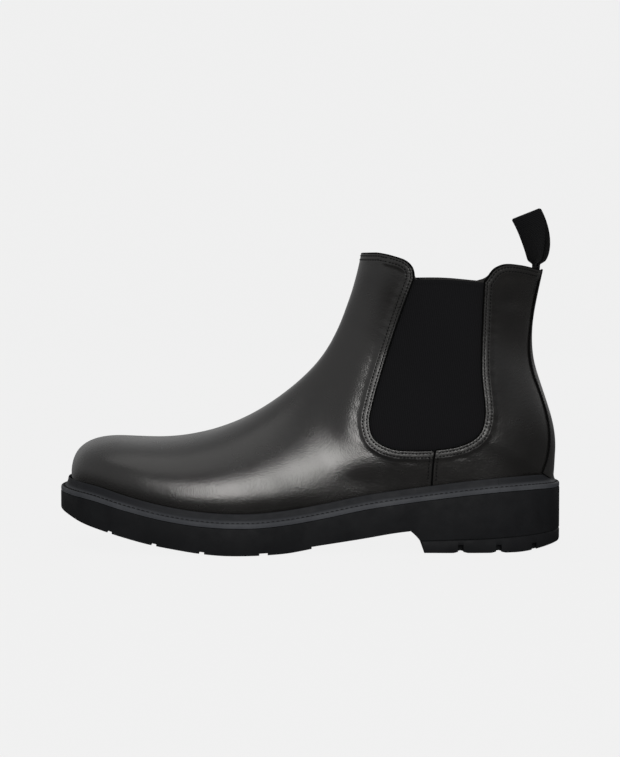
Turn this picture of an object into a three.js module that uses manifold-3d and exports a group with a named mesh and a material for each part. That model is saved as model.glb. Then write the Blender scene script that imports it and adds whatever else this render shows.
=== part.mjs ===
// Chelsea boot, left foot, about EU 43.  Millimetres, +Z up.
// The boot points along X with its toe at -X, and its outer (lateral) side faces -Y.
// The origin is on the ground in the middle of the boot's box.
import * as THREE from "three";
import { mergeVertices } from "three/addons/utils/BufferGeometryUtils.js";
import Module from "manifold-3d";

// ---------------------------------------------------------------- driving dimensions
// Outline of the sole seen from above: x, half width on the outer side, on the inner side.
const SOLE_PLAN = [
  [-152.5, -4, 4], [-150.5, 10.5, 18.5], [-145, 22, 29], [-136, 33, 38], [-122, 43, 46.5],
  [-104, 49.5, 51.5], [-82, 53, 53.9], [-60, 54, 52.8], [-38, 52.8, 49], [-16, 49.5, 44.5],
  [8, 45.2, 40], [34, 41.2, 36.4], [60, 39.8, 35.8], [86, 40.2, 37], [110, 39.2, 37.2],
  [128, 34.5, 33.8], [141, 25, 25], [149, 13.5, 13.5], [152.5, 0, 0],
];
// Height of the sole's top and tread along its length.
const SOLE_TOP = [
  [-152.5, 33.9], [-146, 33.2], [-130, 31.2], [-110.6, 26.4], [-88.6, 21.3], [-66.8, 17.8],
  [-45, 16.2], [-30, 16.3], [-12, 18], [8, 21.2], [33, 26], [60, 30], [82, 32.9],
  [100, 35], [115, 36.3], [136, 37], [152.5, 36.2],
];
const TREAD = [
  [-152.5, 23.5], [-147, 21.3], [-137.7, 17.6], [-122.4, 13.4], [-110, 10.2], [-95.3, 6.7],
  [-80, 3.9], [-66.8, 1.8], [-52, 0.3], [-40, 0], [-28, 0.2], [-12.4, 1.2], [1, 3.4],
];
const WAIST = [[1, 4.6], [33, 9], [52, 12.1], [61, 13.2]];
const TREAD_END = 1;
const BREAST_TOP = 59.8;       // where the hollow front of the heel starts
const BREAST_FOOT = 68;        // where it reaches the ground
const BREAST_HEIGHT = 13.2;
const SOLE_BREAST_STEPS = [0, .25, .5, .66];            // mesh steps down the hollow front
const LIFT_BREAST_STEPS = [.71, .8, .88, .94, .98, 1];
const HEEL_FLAT_END = 128;    // behind this the heel's tread lifts off the ground
const HEEL_LIFT = 3;
const TOP_LIFT = [[68, 7.4], [105, 8.6], [152.5, 11]];   // top of the heel's wear piece
const TREAD_GROOVES = [[-119, 3], [-92.2, 3], [-63.9, 3], [-27.4, 5]];  // x, width
const TREAD_GROOVE_DEPTH = 1.2;
const HEEL_GROOVES = [89.7, 112.5, 134.5];
const HEEL_GROOVE_WIDTH = 3.3;
const HEEL_GROOVE_DEPTH = 3.7;
const SHANK = { from: 10, to: 108, inset: 32, bottom: 1.5, top: 3.5 };
const CORK_FILLER = { from: -112, to: 4, inset: 14, top: 4.3 };   // inset from the upper's bottom edge
const BOARD_ENDS = [-131, 134];                            // of the insole board and footbed

const GAP = 0.3;              // left between pieces that touch
const BASE_LIFT = 3.2;        // the upper's bottom edge above the sole's top
const FEATHER_TOE = 7.8;      // the upper's bottom edge inside the sole's edge, at the toe
const FEATHER_HEEL = 6.2;     // and at the heel
const BULGE = 2.2;            // how far the foot part swells over its bottom edge
const MARGIN = 12;            // how far the upper is turned in under the insole

// Depths of the layers under the outer surface.
const LEATHER = 1.6;
const MIDDLE = [1.9, 3.1];    // toe puff, heel counter and elastic
const LINING = [3.4, 4.4];
const INSOLE = [5.4, 7];      // heights over the upper's bottom edge
const FOOTBED = [7.3, 10];
const STRAP = [-1.6, -0.3];
const ELASTIC_OVERLAP = 7;    // hidden part of the elastic behind the leather

// Cross sections of the upper.  Each one lies in a plane from a ridge point F, on the toe,
// instep or shin, to a foot point B, on the bottom edge or, for the last ones, on the back.
//   ridge x z, foot x z (null: on the bottom edge), half widths outer inner,
//   share of the height where it is widest, fullness above and below it, y of its middle
const SECTIONS = [
  [-144.7, 36.2, -144.7, null, 0, 0, .33, -.10, 0, 6.5],
  [-146.4, 47.5, -141.5, null, 17, 17, .33, -.10, 0, 6.2],
  [-143, 58.7, -136, null, 25, 25, .33, -.10, 0, 5.8],
  [-132.5, 65, -127, null, 32, 32, .32, -.10, 0, 5.2],
  [-119, 66.7, -114, null, 39, 39, .27, -.09, 0, 4.5],
  [-103, 65.7, -97, null, 43, 43, .24, -.07, 0, 3.8],
  [-84, 65.5, -77, null, 46, 46, .21, -.04, 0, 3],
  [-64, 68.8, -54, null, 47, 46, .20, 0, 0, 2.2],
  [-44, 75.4, -28, null, 45, 43, .20, .06, 0, 1.4],
  [-26.6, 84.9, 2, null, 41, 39, .22, .13, 0, .8],
  [-12.4, 95.3, 36, null, 38, 36, .26, .19, 0, .4],
  [-1.2, 105.2, 70, null, 36.5, 35, .3, .23, 0, .2],
  [7, 114.6, 100, null, 36, 35, .34, .25, -.05, 0],
  [12.4, 123, 124, null, 35.5, 34.5, .36, .25, -.10, 0],
  [16.2, 130.5, 138.5, 39.8, 35, 34, .34, .23, -.12, 0],
  [19.2, 137.3, 145.8, 42.5, 34.5, 33.5, .33, .20, -.12, 0],
  [21.6, 143.8, 148.4, 53, 34, 33, .34, .17, -.10, 0],
  [23.8, 150, 148.6, 66, 33.5, 32.5, .36, .14, -.08, 0],
  [25.8, 156, 145.8, 80, 33, 32, .40, .12, -.04, 0],
  [27.4, 161.7, 140.2, 96, 32.5, 32, .44, .10, 0, 0],
  [28.8, 167.2, 134.9, 111, 32.3, 32, .48, .08, .04, 0],
  [30, 172.5, 133.6, 125.5, 32.3, 32, .5, .06, .05, 0],
  [31, 178, 134.6, 139, 32.5, 32.3, .5, .05, .05, 0],
  [31.8, 184, 137, 152, 32.8, 32.8, .5, .05, .05, 0],
  [32.6, 190.5, 139.9, 165, 33, 33, .5, .05, .05, 0],
  [33.4, 197.5, 142.8, 178, 33, 33, .5, .05, .05, 0],
];
// Places along the sections where the mesh has a row, before and behind the heel's own row.
const ROWS_TOE = [0, .5, 1, 1.5, 2, 2.7, 3.4, 4.2, 5, 6, 7, 8, 9, 10, 11, 12, 13, 13.7, 14.2, 14.6, 14.9];
const ROWS_BACK = [15.6, 15.8, 16.1, 16.5, 17, 18, 19, 20, 21, 22.2, 23.5, 25];
const COLUMNS = 9;            // on each side of the ridge

// Outlines of the leather pieces seen from the side: x, z.
const COLLAR_FRONT = [[41, 178.3], [49, 176.6], [57, 173.6], [60.8, 169.5], [61.8, 163]];
const GORE_EDGE = [[61.8, 163], [53.3, 139], [46, 116.5], [38.2, 90.7], [35.6, 77], [38.6, 67.6],
  [49, 62], [61, 61], [72, 61.2], [90, 64], [100.3, 70], [103.9, 80], [102.1, 108],
  [102.9, 140], [103.8, 161]];
const GORE_TOP = [[103.8, 160.6], [83, 162.4], [61.8, 162.6]];
const COLLAR_BACK = [[103.8, 161], [106.5, 164.6], [110, 168.8], [116.4, 171.4], [128, 170.6],
  [142, 167.2]];
const SIDE_SEAM = [[74.4, 61.3], [73.2, 51.3], [72.2, 30]];
const STRAP_TOP = 168;
const STRAP_EDGE = [[139.5, 168], [138.6, 164], [135, 148], [133.2, 134], [132.2, 119],
  [134.8, 105], [137.8, 97], [142.6, 82], [144.4, 68], [143.8, 57], [141.6, 46]];
const STRAP_FOOT = 46;        // lower end of the strap
const PUFF_END = [[-110, 5], [-104, 45], [-107, 80]];
const COUNTER_FRONT = [[92, 42], [95, 48], [108, 56], [113.5, 68], [114.5, 84], [122, 92]];
const COUNTER_HEEL = [135, 47.5];   // its bottom edge is higher behind this point

// Pull tab: a loop of webbing that stands on the back of the collar.
const TAB_WIDTH = 19;
const TAB_THICKNESS = 1.5;
const TAB_CLEARANCE = 0.9;    // over its pivot, where its two legs start
const TAB_PIVOT = [138.2, 170.4];
const TAB_ROOT_BOTTOM = 150;  // its ends are sewn in between leather and lining
const TAB_ROOT_TOP = 168.4;
const TAB_ROOT_FRONT = 120;
const TAB_LENGTH = 30.9;
const TAB_GAP = 3;            // widest gap between its two legs
const TAB_LEAN = -6.8;        // its top in x from the pivot
const TAB_TWIST = [16, 54];   // degrees it turns just over the collar, and from there to its top
const TAB_ROLL = 21;          // degrees that the top edge rises to the back

// ---------------------------------------------------------------- curves and booleans
const wasm = await Module();
wasm.setup();

const mix = (a, b, t) => a + (b - a) * t;
const clamp = (x, low, high) => Math.min(high, Math.max(low, x));
function smoothStep(low, high, x) {
  const t = clamp((x - low) / (high - low), 0, 1);
  return t * t * (3 - 2 * t);
}

/** A smooth height curve y(x) through points with rising x. */
function curveThrough(points) {
  const slope = (i) => (points[i + 1][1] - points[i][1]) / (points[i + 1][0] - points[i][0]);
  const width = (i) => points[i + 1][0] - points[i][0];
  const last = points.length - 1;
  const tangents = points.map((point, i) => {
    if (i === 0) return slope(0);
    if (i === last) return slope(last - 1);
    return (slope(i - 1) * width(i) + slope(i) * width(i - 1)) / (width(i - 1) + width(i));
  });
  return (x) => {
    const at = clamp(x, points[0][0], points[last][0]);
    let i = 0;
    while (i < last - 1 && at > points[i + 1][0]) i += 1;
    const h = width(i);
    const t = (at - points[i][0]) / h;
    const value = mix(points[i][1], points[i + 1][1], 3 * t ** 2 - 2 * t ** 3);
    return value + h * ((t ** 3 - 2 * t ** 2 + t) * tangents[i] + (t ** 3 - t ** 2) * tangents[i + 1]);
  };
}

/** A uniform cubic B-spline through rows of numbers, with straight ends. */
function splineRow(rows, u) {
  const last = rows.length - 1;
  const span = clamp(Math.floor(u), 0, last - 1);
  const t = u - span;
  const row = (i) => {
    if (i < 0) return rows[0].map((v, k) => 2 * v - rows[1][k]);
    if (i > last) return rows[last].map((v, k) => 2 * v - rows[last - 1][k]);
    return rows[i];
  };
  const weights = [(1 - t) ** 3, 3 * t ** 3 - 6 * t ** 2 + 4, -3 * t ** 3 + 3 * t ** 2 + 3 * t + 1, t ** 3];
  const around = [span - 1, span, span + 1, span + 2].map(row);
  return rows[0].map((_, k) => weights.reduce((sum, w, i) => sum + w * around[i][k] / 6, 0));
}

/** Points of a smooth line through a few given points of a side view. */
function smoothLine(points, stepsPerSpan = 3) {
  const corners = points.map(([x, z]) => new THREE.Vector3(x, 0, z));
  const curve = new THREE.CatmullRomCurve3(corners, false, "centripetal");
  return curve.getPoints(stepsPerSpan * (points.length - 1)).map((p) => [p.x, p.z]);
}

/** The same line moved sideways, to its left for a positive distance. */
function shiftLine(line, distance) {
  return line.map(([x, z], i) => {
    const before = line[Math.max(0, i - 1)];
    const after = line[Math.min(line.length - 1, i + 1)];
    const length = Math.hypot(after[0] - before[0], after[1] - before[1]);
    const [dx, dz] = [(after[0] - before[0]) / length, (after[1] - before[1]) / length];
    return [x - distance * dz, z + distance * dx];
  });
}

/** A closed mesh from triangles of points; coincident points join and flat ones drop out. */
function geometryOf(triangles) {
  const positions = new Float32Array(triangles.flat(2));
  const soup = new THREE.BufferGeometry();
  soup.setAttribute("position", new THREE.BufferAttribute(positions, 3));
  const merged = mergeVertices(soup, 1e-3);
  const index = merged.index.array;
  const kept = [];
  for (let i = 0; i < index.length; i += 3) {
    const [a, b, c] = [index[i], index[i + 1], index[i + 2]];
    if (a !== b && b !== c && c !== a) kept.push(a, b, c);
  }
  merged.setIndex(kept);
  return merged;
}

function toSolid(geometry) {
  const bare = geometry.clone();
  bare.deleteAttribute("normal");
  bare.deleteAttribute("uv");
  const merged = mergeVertices(bare, 1e-4);
  const mesh = new wasm.Mesh({
    numProp: 3,
    vertProperties: new Float32Array(merged.attributes.position.array),
    triVerts: new Uint32Array(merged.index.array),
  });
  return new wasm.Manifold(mesh);
}

function toGeometry(solid) {
  const mesh = solid.getMesh();
  const geometry = new THREE.BufferGeometry();
  const positions = new Float32Array(mesh.vertProperties);
  geometry.setAttribute("position", new THREE.BufferAttribute(positions, 3));
  geometry.setIndex(new THREE.BufferAttribute(new Uint32Array(mesh.triVerts), 1));
  return geometry;
}

/** A side-view outline (x, z) drawn through the boot from y = low to y = high. */
function prism(outline, low = -90, high = 90) {
  const shape = new THREE.Shape(outline.map(([x, z]) => new THREE.Vector2(x, z)));
  const geometry = new THREE.ExtrudeGeometry(shape, { depth: high - low, bevelEnabled: false });
  geometry.rotateX(Math.PI / 2);
  geometry.translate(0, high, 0);
  return toSolid(geometry);
}

function rectangle(left, right, bottom, top) {
  return [[left, bottom], [right, bottom], [right, top], [left, top]];
}

/** Quads between rows of points, as triangles. */
function skin(grid, flip = false) {
  const triangles = [];
  for (let i = 0; i + 1 < grid.length; i += 1) {
    for (let j = 0; j + 1 < grid[i].length; j += 1) {
      const [a, b, c, d] = [grid[i][j], grid[i + 1][j], grid[i + 1][j + 1], grid[i][j + 1]];
      if (flip) triangles.push([a, c, b], [a, d, c]);
      else triangles.push([a, b, c], [a, c, d]);
    }
  }
  return triangles;
}

/** A closed solid between two grids of points; its edge is left open where closed(triangle). */
function slab(outer, inner, closed = () => false) {
  const edges = (side) => side(outer).map((point, k) => [point, side(inner)[k]]);
  const firstRow = edges((grid) => grid[0]);
  const lastRow = edges((grid) => grid[grid.length - 1]);
  const firstColumn = edges((grid) => grid.map((row) => row[0]));
  const lastColumn = edges((grid) => grid.map((row) => row[row.length - 1]));
  const rims = [...skin(firstRow), ...skin(lastRow, true), ...skin(firstColumn, true), ...skin(lastColumn)];
  return geometryOf([...skin(outer), ...skin(inner, true), ...rims.filter((rim) => !closed(rim))]);
}

// ---------------------------------------------------------------- sole outline
const soleTop = curveThrough(SOLE_TOP);
const tread = curveThrough(TREAD);
const waist = curveThrough(WAIST);
const topLift = curveThrough(TOP_LIFT);
const toeX = SOLE_PLAN[0][0];
const heelX = SOLE_PLAN[SOLE_PLAN.length - 1][0];

const planPoints = [
  ...SOLE_PLAN.map(([x, outer]) => new THREE.Vector3(x, -outer, 0)),
  ...SOLE_PLAN.slice(1, -1).reverse().map(([x, , inner]) => new THREE.Vector3(x, inner, 0)),
];
const STEPS_PER_SPAN = 12;
const planCurve = new THREE.CatmullRomCurve3(planPoints, true, "catmullrom", 0.5);
const planLoop = planCurve.getPoints(STEPS_PER_SPAN * planPoints.length).slice(0, -1);

/** How far the upper's bottom edge lies inside the sole's edge. */
function featherInset(x) {
  return mix(FEATHER_TOE, FEATHER_HEEL, clamp((x + 20) / 140, 0, 1));
}

/** The outline moved inwards by inset(x). */
function insetLoop(inset) {
  return planLoop.map((point, i) => {
    const before = planLoop[(i + planLoop.length - 1) % planLoop.length];
    const after = planLoop[(i + 1) % planLoop.length];
    const along = after.clone().sub(before).normalize();
    const depth = inset(point.x);
    return [point.x - depth * along.y, point.y + depth * along.x];
  });
}

/** The inset outline as y(x) of its outer and inner side, and its two ends. */
function sidesOf(inset) {
  const loop = insetLoop(inset);
  const toe = loop.reduce((best, p, i) => (p[0] < loop[best][0] ? i : best), 0);
  const heel = loop.reduce((best, p, i) => (p[0] > loop[best][0] ? i : best), 0);
  const walk = (step) => {
    const side = [];
    for (let i = toe; i !== heel; i = (i + step + loop.length) % loop.length) side.push(loop[i]);
    return [...side, loop[heel]];
  };
  const lookUp = (side) => (x) => {
    const i = clamp(side.findIndex((p) => p[0] >= x), 1, side.length - 1);
    const [a, b] = [side[i - 1], side[i]];
    return mix(a[1], b[1], clamp((x - a[0]) / Math.max(b[0] - a[0], 1e-6), 0, 1));
  };
  return { toe: loop[toe], heel: loop[heel], outer: lookUp(walk(1)), inner: lookUp(walk(-1)) };
}

/** Stations along a flat piece, closer together at its two round ends. */
function stations(from, to, count, extra = []) {
  const share = (i) => (1 - Math.cos(Math.PI * i / count)) / 2;
  const list = Array.from({ length: count + 1 }, (_, i) => mix(from, to, share(i)));
  const near = (x) => extra.some((e) => Math.abs(e - x) < 1.2);
  return [...list.filter((x) => !near(x)), ...extra].sort((a, b) => a - b);
}

/** A board that fills the inset outline between two heights. */
function board(inset, bottom, top, from = -Infinity, to = Infinity, count = 30, extra = []) {
  const sides = sidesOf(inset);
  const start = Math.max(from, sides.toe[0] + 0.05);
  const end = Math.min(to, sides.heel[0] - 0.05);
  const rows = stations(start, end, count, extra);
  const edge = (height) => rows.map((x) => [[x, sides.outer(x), height(x)], [x, sides.inner(x), height(x)]]);
  return slab(edge(top), edge(bottom));
}

// ---------------------------------------------------------------- surface of the upper
const featherLine = sidesOf(featherInset);
const baseHeight = (x) => soleTop(x) + BASE_LIFT;
const sectionRows = SECTIONS.map((row) => row.map((v) => (v === null ? baseHeight(row[2]) : v)));
sectionRows[0][0] = featherLine.toe[0];
sectionRows[0][1] = baseHeight(featherLine.toe[0]);
sectionRows[0][2] = featherLine.toe[0];
sectionRows[0][3] = baseHeight(featherLine.toe[0]);
sectionRows[0][9] = featherLine.toe[1];

/** Where along the sections the foot point reaches the back of the heel. */
function findHeelRow() {
  let [low, high] = [13, 16];
  for (let i = 0; i < 40; i += 1) {
    const middle = (low + high) / 2;
    if (splineRow(sectionRows, middle)[2] < featherLine.heel[0]) low = middle;
    else high = middle;
  }
  return high;
}
const heelRow = findHeelRow();

/** All numbers of the cross section at u. */
function sectionAt(u) {
  const [fx, fz, bx, bzSpline, wOuter, wInner, rise, fullTop, fullBottom, y0] = splineRow(sectionRows, u);
  const onBase = u < heelRow;
  const onBack = smoothStep(heelRow, heelRow + 1, u);
  const bz = onBase ? baseHeight(bx) : mix(baseHeight(bx), bzSpline, onBack);
  const feather = [onBase ? Math.max(y0 - featherLine.outer(bx), 0) : 0,
    onBase ? Math.max(featherLine.inner(bx) - y0, 0) : 0];
  const height = Math.hypot(fx - bx, fz - bz);
  const shaft = smoothStep(8, 13, u);
  const swell = BULGE * clamp(height / 14, 0, 1);
  const half = [wOuter, wInner].map((w, k) => mix(feather[k] + swell, Math.max(w, feather[k] + GAP), shaft));
  const up = [(fx - bx) / Math.max(height, 1e-6), (fz - bz) / Math.max(height, 1e-6)];
  return { bx, bz, height, up, half, feather, widest: rise * height, fullTop, fullBottom, y0 };
}

/** Squared cosine of the angle where a half section of half width 1 narrows to ratio. */
function footCosine(ratio, fullness) {
  let [low, high] = [0, 1];
  for (let i = 0; i < 30; i += 1) {
    const middle = (low + high) / 2;
    if (Math.sqrt(1 - middle) * (1 - fullness * middle) > ratio) low = middle;
    else high = middle;
  }
  return Math.max((low + high) / 2, 1e-4);
}

/** Point of the outer surface: u along the sections, a from -1 (outer edge) to 1 (inner). */
function surfacePoint(section, a) {
  const k = a > 0 ? 1 : 0;
  const w = Math.max(section.half[k], 1e-6);
  const c = footCosine(clamp(section.feather[k] / w, 0, 0.9999), section.fullBottom);
  const lower = section.widest / Math.sqrt(c);
  const upper = section.height - section.widest;
  const upperLength = Math.PI / 2 * Math.sqrt((w * w + upper * upper) / 2);
  const lowerLength = Math.hypot(section.widest, w - section.feather[k]) * (1 + 0.11 * c);
  const share = upperLength / (upperLength + lowerLength + 1e-9);
  const far = Math.abs(a);
  const last = Math.acos(-Math.sqrt(c));
  const angle = far <= share ? far / share * Math.PI / 2
    : Math.PI / 2 + (far - share) / (1 - share + 1e-9) * (last - Math.PI / 2);
  const cosine = Math.cos(angle);
  const above = angle <= Math.PI / 2;
  const fullness = above ? section.fullTop : section.fullBottom;
  const y = w * Math.sin(angle) * (1 - fullness * cosine * cosine);
  const h = section.widest + (above ? upper : lower) * cosine;
  const [x, z] = [section.bx + section.up[0] * h, section.bz + section.up[1] * h];
  return new THREE.Vector3(x, section.y0 + (a > 0 ? y : -y), z);
}

const rows = [...ROWS_TOE, heelRow, ...ROWS_BACK];
const sections = rows.map(sectionAt);
const sideSteps = Array.from({ length: 2 * COLUMNS + 1 }, (_, j) => j / COLUMNS - 1);
const surface = sections.map((section) => sideSteps.map((a) => surfacePoint(section, a)));
const heelIndex = rows.indexOf(heelRow);

/** Unit normals at the surface's grid points, averaged over the faces around each one. */
function gridNormals() {
  const normals = surface.map((row) => row.map(() => new THREE.Vector3()));
  const add = (i, j, n) => normals[i][j].add(n);
  for (let i = 0; i + 1 < surface.length; i += 1) {
    for (let j = 0; j < 2 * COLUMNS; j += 1) {
      const across = surface[i + 1][j + 1].clone().sub(surface[i][j]);
      const back = surface[i][j + 1].clone().sub(surface[i + 1][j]);
      const n = across.cross(back);
      add(i, j, n);
      add(i + 1, j, n);
      add(i, j + 1, n);
      add(i + 1, j + 1, n);
    }
  }
  const pole = new THREE.Vector3();
  normals[0].forEach((n) => pole.add(n));
  normals[0].forEach((n) => n.copy(pole).setY(0));
  for (let i = heelIndex; i < surface.length; i += 1) {
    const seam = normals[i][0].clone().add(normals[i][2 * COLUMNS]).setY(0);
    normals[i][0].copy(seam);
    normals[i][2 * COLUMNS].copy(seam);
  }
  normals.flat().forEach((n) => n.normalize());
  const outward = normals[12][COLUMNS].z > 0 ? 1 : -1;
  normals.flat().forEach((n) => n.multiplyScalar(outward));
  return normals;
}
const normals = gridNormals();

/** The surface at a depth, from one turned-in margin over the ridge to the other. */
function layerGrid(depth) {
  const firstRow = depth > 2.5 ? 4 : (depth > 1 ? 2 : 0);
  const at = (i, j) => surface[i][j].clone().addScaledVector(normals[i][j], -depth);
  const pole = at(0, 0);
  pole.z = sections[0].bz + depth;
  const slit = GAP / 2;
  return rows.map((u, i) => {
    if (i < firstRow || i === 0) return Array.from({ length: 2 * COLUMNS + 3 }, () => pole.toArray());
    const section = sections[i];
    const points = sideSteps.map((a, j) => at(i, j));
    const ends = [points[0], points[2 * COLUMNS]];
    const lowest = section.bz + depth;
    if (i < heelIndex) {
      const above = [points[1], points[2 * COLUMNS - 1]];
      ends.forEach((p, k) => p.lerp(above[k], (lowest - p.z) / (above[k].z - p.z)));
    }
    if (i === heelIndex) ends.forEach((p) => p.setZ(lowest));
    const margin = ends.map((p, k) => {
      if (i >= heelIndex) return p.setY(0);
      const reach = Math.max(section.feather[k] - MARGIN, slit);
      return new THREE.Vector3(p.x, section.y0 + (k === 0 ? -reach : reach), lowest);
    });
    return [margin[0], ...points, margin[1]].map((p) => p.toArray());
  });
}

/** A layer of the upper, turned in at the bottom and closed round the back of the heel. */
function layer(outerDepth, innerDepth) {
  const onSeam = (triangle) => triangle.every(([x, y]) => x > 0 && Math.abs(y) < 1e-6);
  return toSolid(slab(layerGrid(outerDepth), layerGrid(innerDepth), onSeam));
}

/** A patch over the back seam, from the outer side round to the inner side. */
function backPatch(outerDepth, innerDepth, columnsEachSide, topRow = rows.length - 1) {
  const columns = [
    ...Array.from({ length: columnsEachSide + 1 }, (_, k) => 2 * COLUMNS - columnsEachSide + k),
    ...Array.from({ length: columnsEachSide }, (_, k) => k + 1),
  ];
  const grid = (depth) => rows.slice(heelIndex, topRow + 1).map((_, k) => columns.map((j) => {
    const i = heelIndex + k;
    return surface[i][j].clone().addScaledVector(normals[i][j], -depth).toArray();
  }));
  return toSolid(slab(grid(outerDepth), grid(innerDepth)));
}

// ---------------------------------------------------------------- pieces of the upper
const goreLine = smoothLine(GORE_EDGE);
const seamIndex = goreLine.findIndex(([x, z]) => x > SIDE_SEAM[0][0] && z < 70);
const frontOfGore = goreLine.slice(0, seamIndex);
const backOfGore = goreLine.slice(seamIndex);
const seamLine = smoothLine(SIDE_SEAM);
const FAR = 175;              // outside the boot, to either side
const BELOW = 5;              // under the upper

function vampOutline() {
  const collarHeight = COLLAR_FRONT[0][1];
  return [[-FAR, BELOW], [-FAR, collarHeight], ...smoothLine(COLLAR_FRONT), ...frontOfGore.slice(1),
    ...seamLine, [seamLine[seamLine.length - 1][0], BELOW]];
}

function quarterOutline() {
  const seam = shiftLine(seamLine, GAP).reverse();
  return [[seam[0][0], BELOW], ...seam, ...backOfGore, ...smoothLine(COLLAR_BACK).slice(1),
    [FAR, 165], [FAR, BELOW]];
}

function goreOutline() {
  const [topBack, ...topFront] = GORE_TOP;
  const hidden = shiftLine(goreLine, -ELASTIC_OVERLAP).filter(([, z]) => z < topBack[1]);
  const [first, last] = [hidden[0], hidden[hidden.length - 1]];
  return [[first[0], topFront[1][1]], ...hidden, [last[0], topBack[1]], topFront[0]];
}

const leather = layer(0, LEATHER);
const middle = layer(...MIDDLE);
const lining = layer(...LINING);
const outerSide = [-90, -GAP / 2];
const innerSide = [GAP / 2, 90];

function strapOutline() {
  return [[FAR, STRAP_TOP], ...smoothLine(STRAP_EDGE), [FAR, STRAP_FOOT]];
}

function counterOutline() {
  const top = COUNTER_FRONT[COUNTER_FRONT.length - 1][1];
  return [...smoothLine(COUNTER_FRONT), [FAR, top], [FAR, COUNTER_HEEL[1]], COUNTER_HEEL];
}

function puffOutline() {
  const top = PUFF_END[PUFF_END.length - 1][1];
  return [[-FAR, BELOW], ...PUFF_END, [-FAR, top]];
}

function upperPieces() {
  const root = rectangle(TAB_ROOT_FRONT, FAR, TAB_ROOT_BOTTOM, TAB_ROOT_TOP);
  const vamp = prism(vampOutline());
  return {
    vamp: leather.intersect(vamp),
    quarter_lateral: leather.intersect(prism(quarterOutline(), ...outerSide)),
    quarter_medial: leather.intersect(prism(quarterOutline(), ...innerSide)),
    gore_lateral: middle.intersect(prism(goreOutline(), ...outerSide)),
    gore_medial: middle.intersect(prism(goreOutline(), ...innerSide)),
    toe_puff: middle.intersect(prism(puffOutline())),
    heel_counter: middle.intersect(prism(counterOutline())),
    vamp_lining: lining.intersect(vamp),
    quarter_lining: lining.intersect(prism(quarterOutline())),
    backstrap: backPatch(...STRAP, 5).intersect(prism(strapOutline())),
    pull_tab_root: backPatch(...MIDDLE, 3).intersect(prism(root, -TAB_WIDTH / 2, TAB_WIDTH / 2)),
  };
}

// ---------------------------------------------------------------- bottom of the boot
/** Height of the sole's underside. */
function soleBottom(x) {
  if (x <= TREAD_END) return tread(x);
  if (x <= BREAST_TOP) return waist(x);
  if (x < BREAST_FOOT) {
    const t = (x - BREAST_TOP) / (BREAST_FOOT - BREAST_TOP);
    return BREAST_HEIGHT * Math.sqrt(1 - t);
  }
  return 0;
}

/** Height of the ground-side face of the heel's wear piece. */
function liftBottom(x) {
  return HEEL_LIFT * clamp((x - HEEL_FLAT_END) / (heelX - HEEL_FLAT_END), 0, 1) ** 1.6;
}

function box(x, z, width, height) {
  const geometry = new THREE.BoxGeometry(width, 140, height);
  geometry.translate(x, 0, z);
  return toSolid(geometry);
}

/** Cuts straight grooves across the whole underside; each groove is its x and its width. */
function cutGrooves(body, grooves, heightAt, depth) {
  const cutter = 12;
  return grooves.reduce((solid, [x, width]) => (
    solid.subtract(box(x, heightAt(x) + depth - cutter / 2, width, cutter))), body);
}

/** Forepart, waist and heel block: everything over the heel's wear piece. */
function soleUnit() {
  const breast = SOLE_BREAST_STEPS.map((t) => mix(BREAST_TOP, BREAST_FOOT, t));
  const liftStart = breast[breast.length - 1];
  const bottom = (x) => (x < liftStart ? soleBottom(x) : topLift(x) + GAP);
  const extra = [TREAD_END, TREAD_END + 0.02, ...breast];
  const body = toSolid(board(() => 0, bottom, soleTop, -Infinity, Infinity, 34, extra));
  return cutGrooves(body, TREAD_GROOVES, tread, TREAD_GROOVE_DEPTH);
}

function heelTopLift() {
  const [start, ...front] = LIFT_BREAST_STEPS.map((t) => mix(BREAST_TOP, BREAST_FOOT, t));
  const bottom = (x) => (x < BREAST_FOOT ? Math.min(soleBottom(x), topLift(x) - GAP) : liftBottom(x));
  const body = toSolid(board(() => GAP, bottom, topLift, start, Infinity, 22, [...front, HEEL_FLAT_END]));
  return cutGrooves(body, HEEL_GROOVES.map((x) => [x, HEEL_GROOVE_WIDTH]), liftBottom, HEEL_GROOVE_DEPTH);
}

// Section of the welt: share of the feather inset, height over the sole's top.
const WELT_PROFILE = [[.02, .3], [.02, 2.3], [.1, 2.9], [.2, 2.9], [.27, 2.2], [.36, 3], [.54, 7],
  [.6, 8.2], [.65, 8], [.8, 3], [.86, .3]];
const RAND_SPLICE = 113;

/** The welt's section swept all round the sole's edge. */
function weltRing() {
  const loops = WELT_PROFILE.map(([share]) => insetLoop((x) => share * featherInset(x)));
  const every = STEPS_PER_SPAN / 2;
  const count = planLoop.length / every;
  const starts = Array.from({ length: count + 1 }, (_, k) => (k * every) % planLoop.length);
  const rings = starts.map((i) => WELT_PROFILE.map(([, height], k) => {
    const [x, y] = loops[k][i];
    return [x, y, soleTop(x) + height];
  }));
  return toSolid(outwards(geometryOf(skin(rings.map((ring) => [...ring, ring[0]])))));
}

/** A solid swept through closed rings of points, with flat ends. */
function closedSweep(rings) {
  const closed = rings.map((ring) => [...ring, ring[0]]);
  const cap = (ring, flip) => {
    const shape = flatten(ring);
    const faces = THREE.ShapeUtils.triangulateShape(shape, []);
    return faces.map(([a, b, c]) => (flip ? [ring[a], ring[c], ring[b]] : [ring[a], ring[b], ring[c]]));
  };
  const triangles = [...skin(closed), ...cap(rings[0], false), ...cap(rings[rings.length - 1], true)];
  return outwards(geometryOf(triangles));
}

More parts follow.
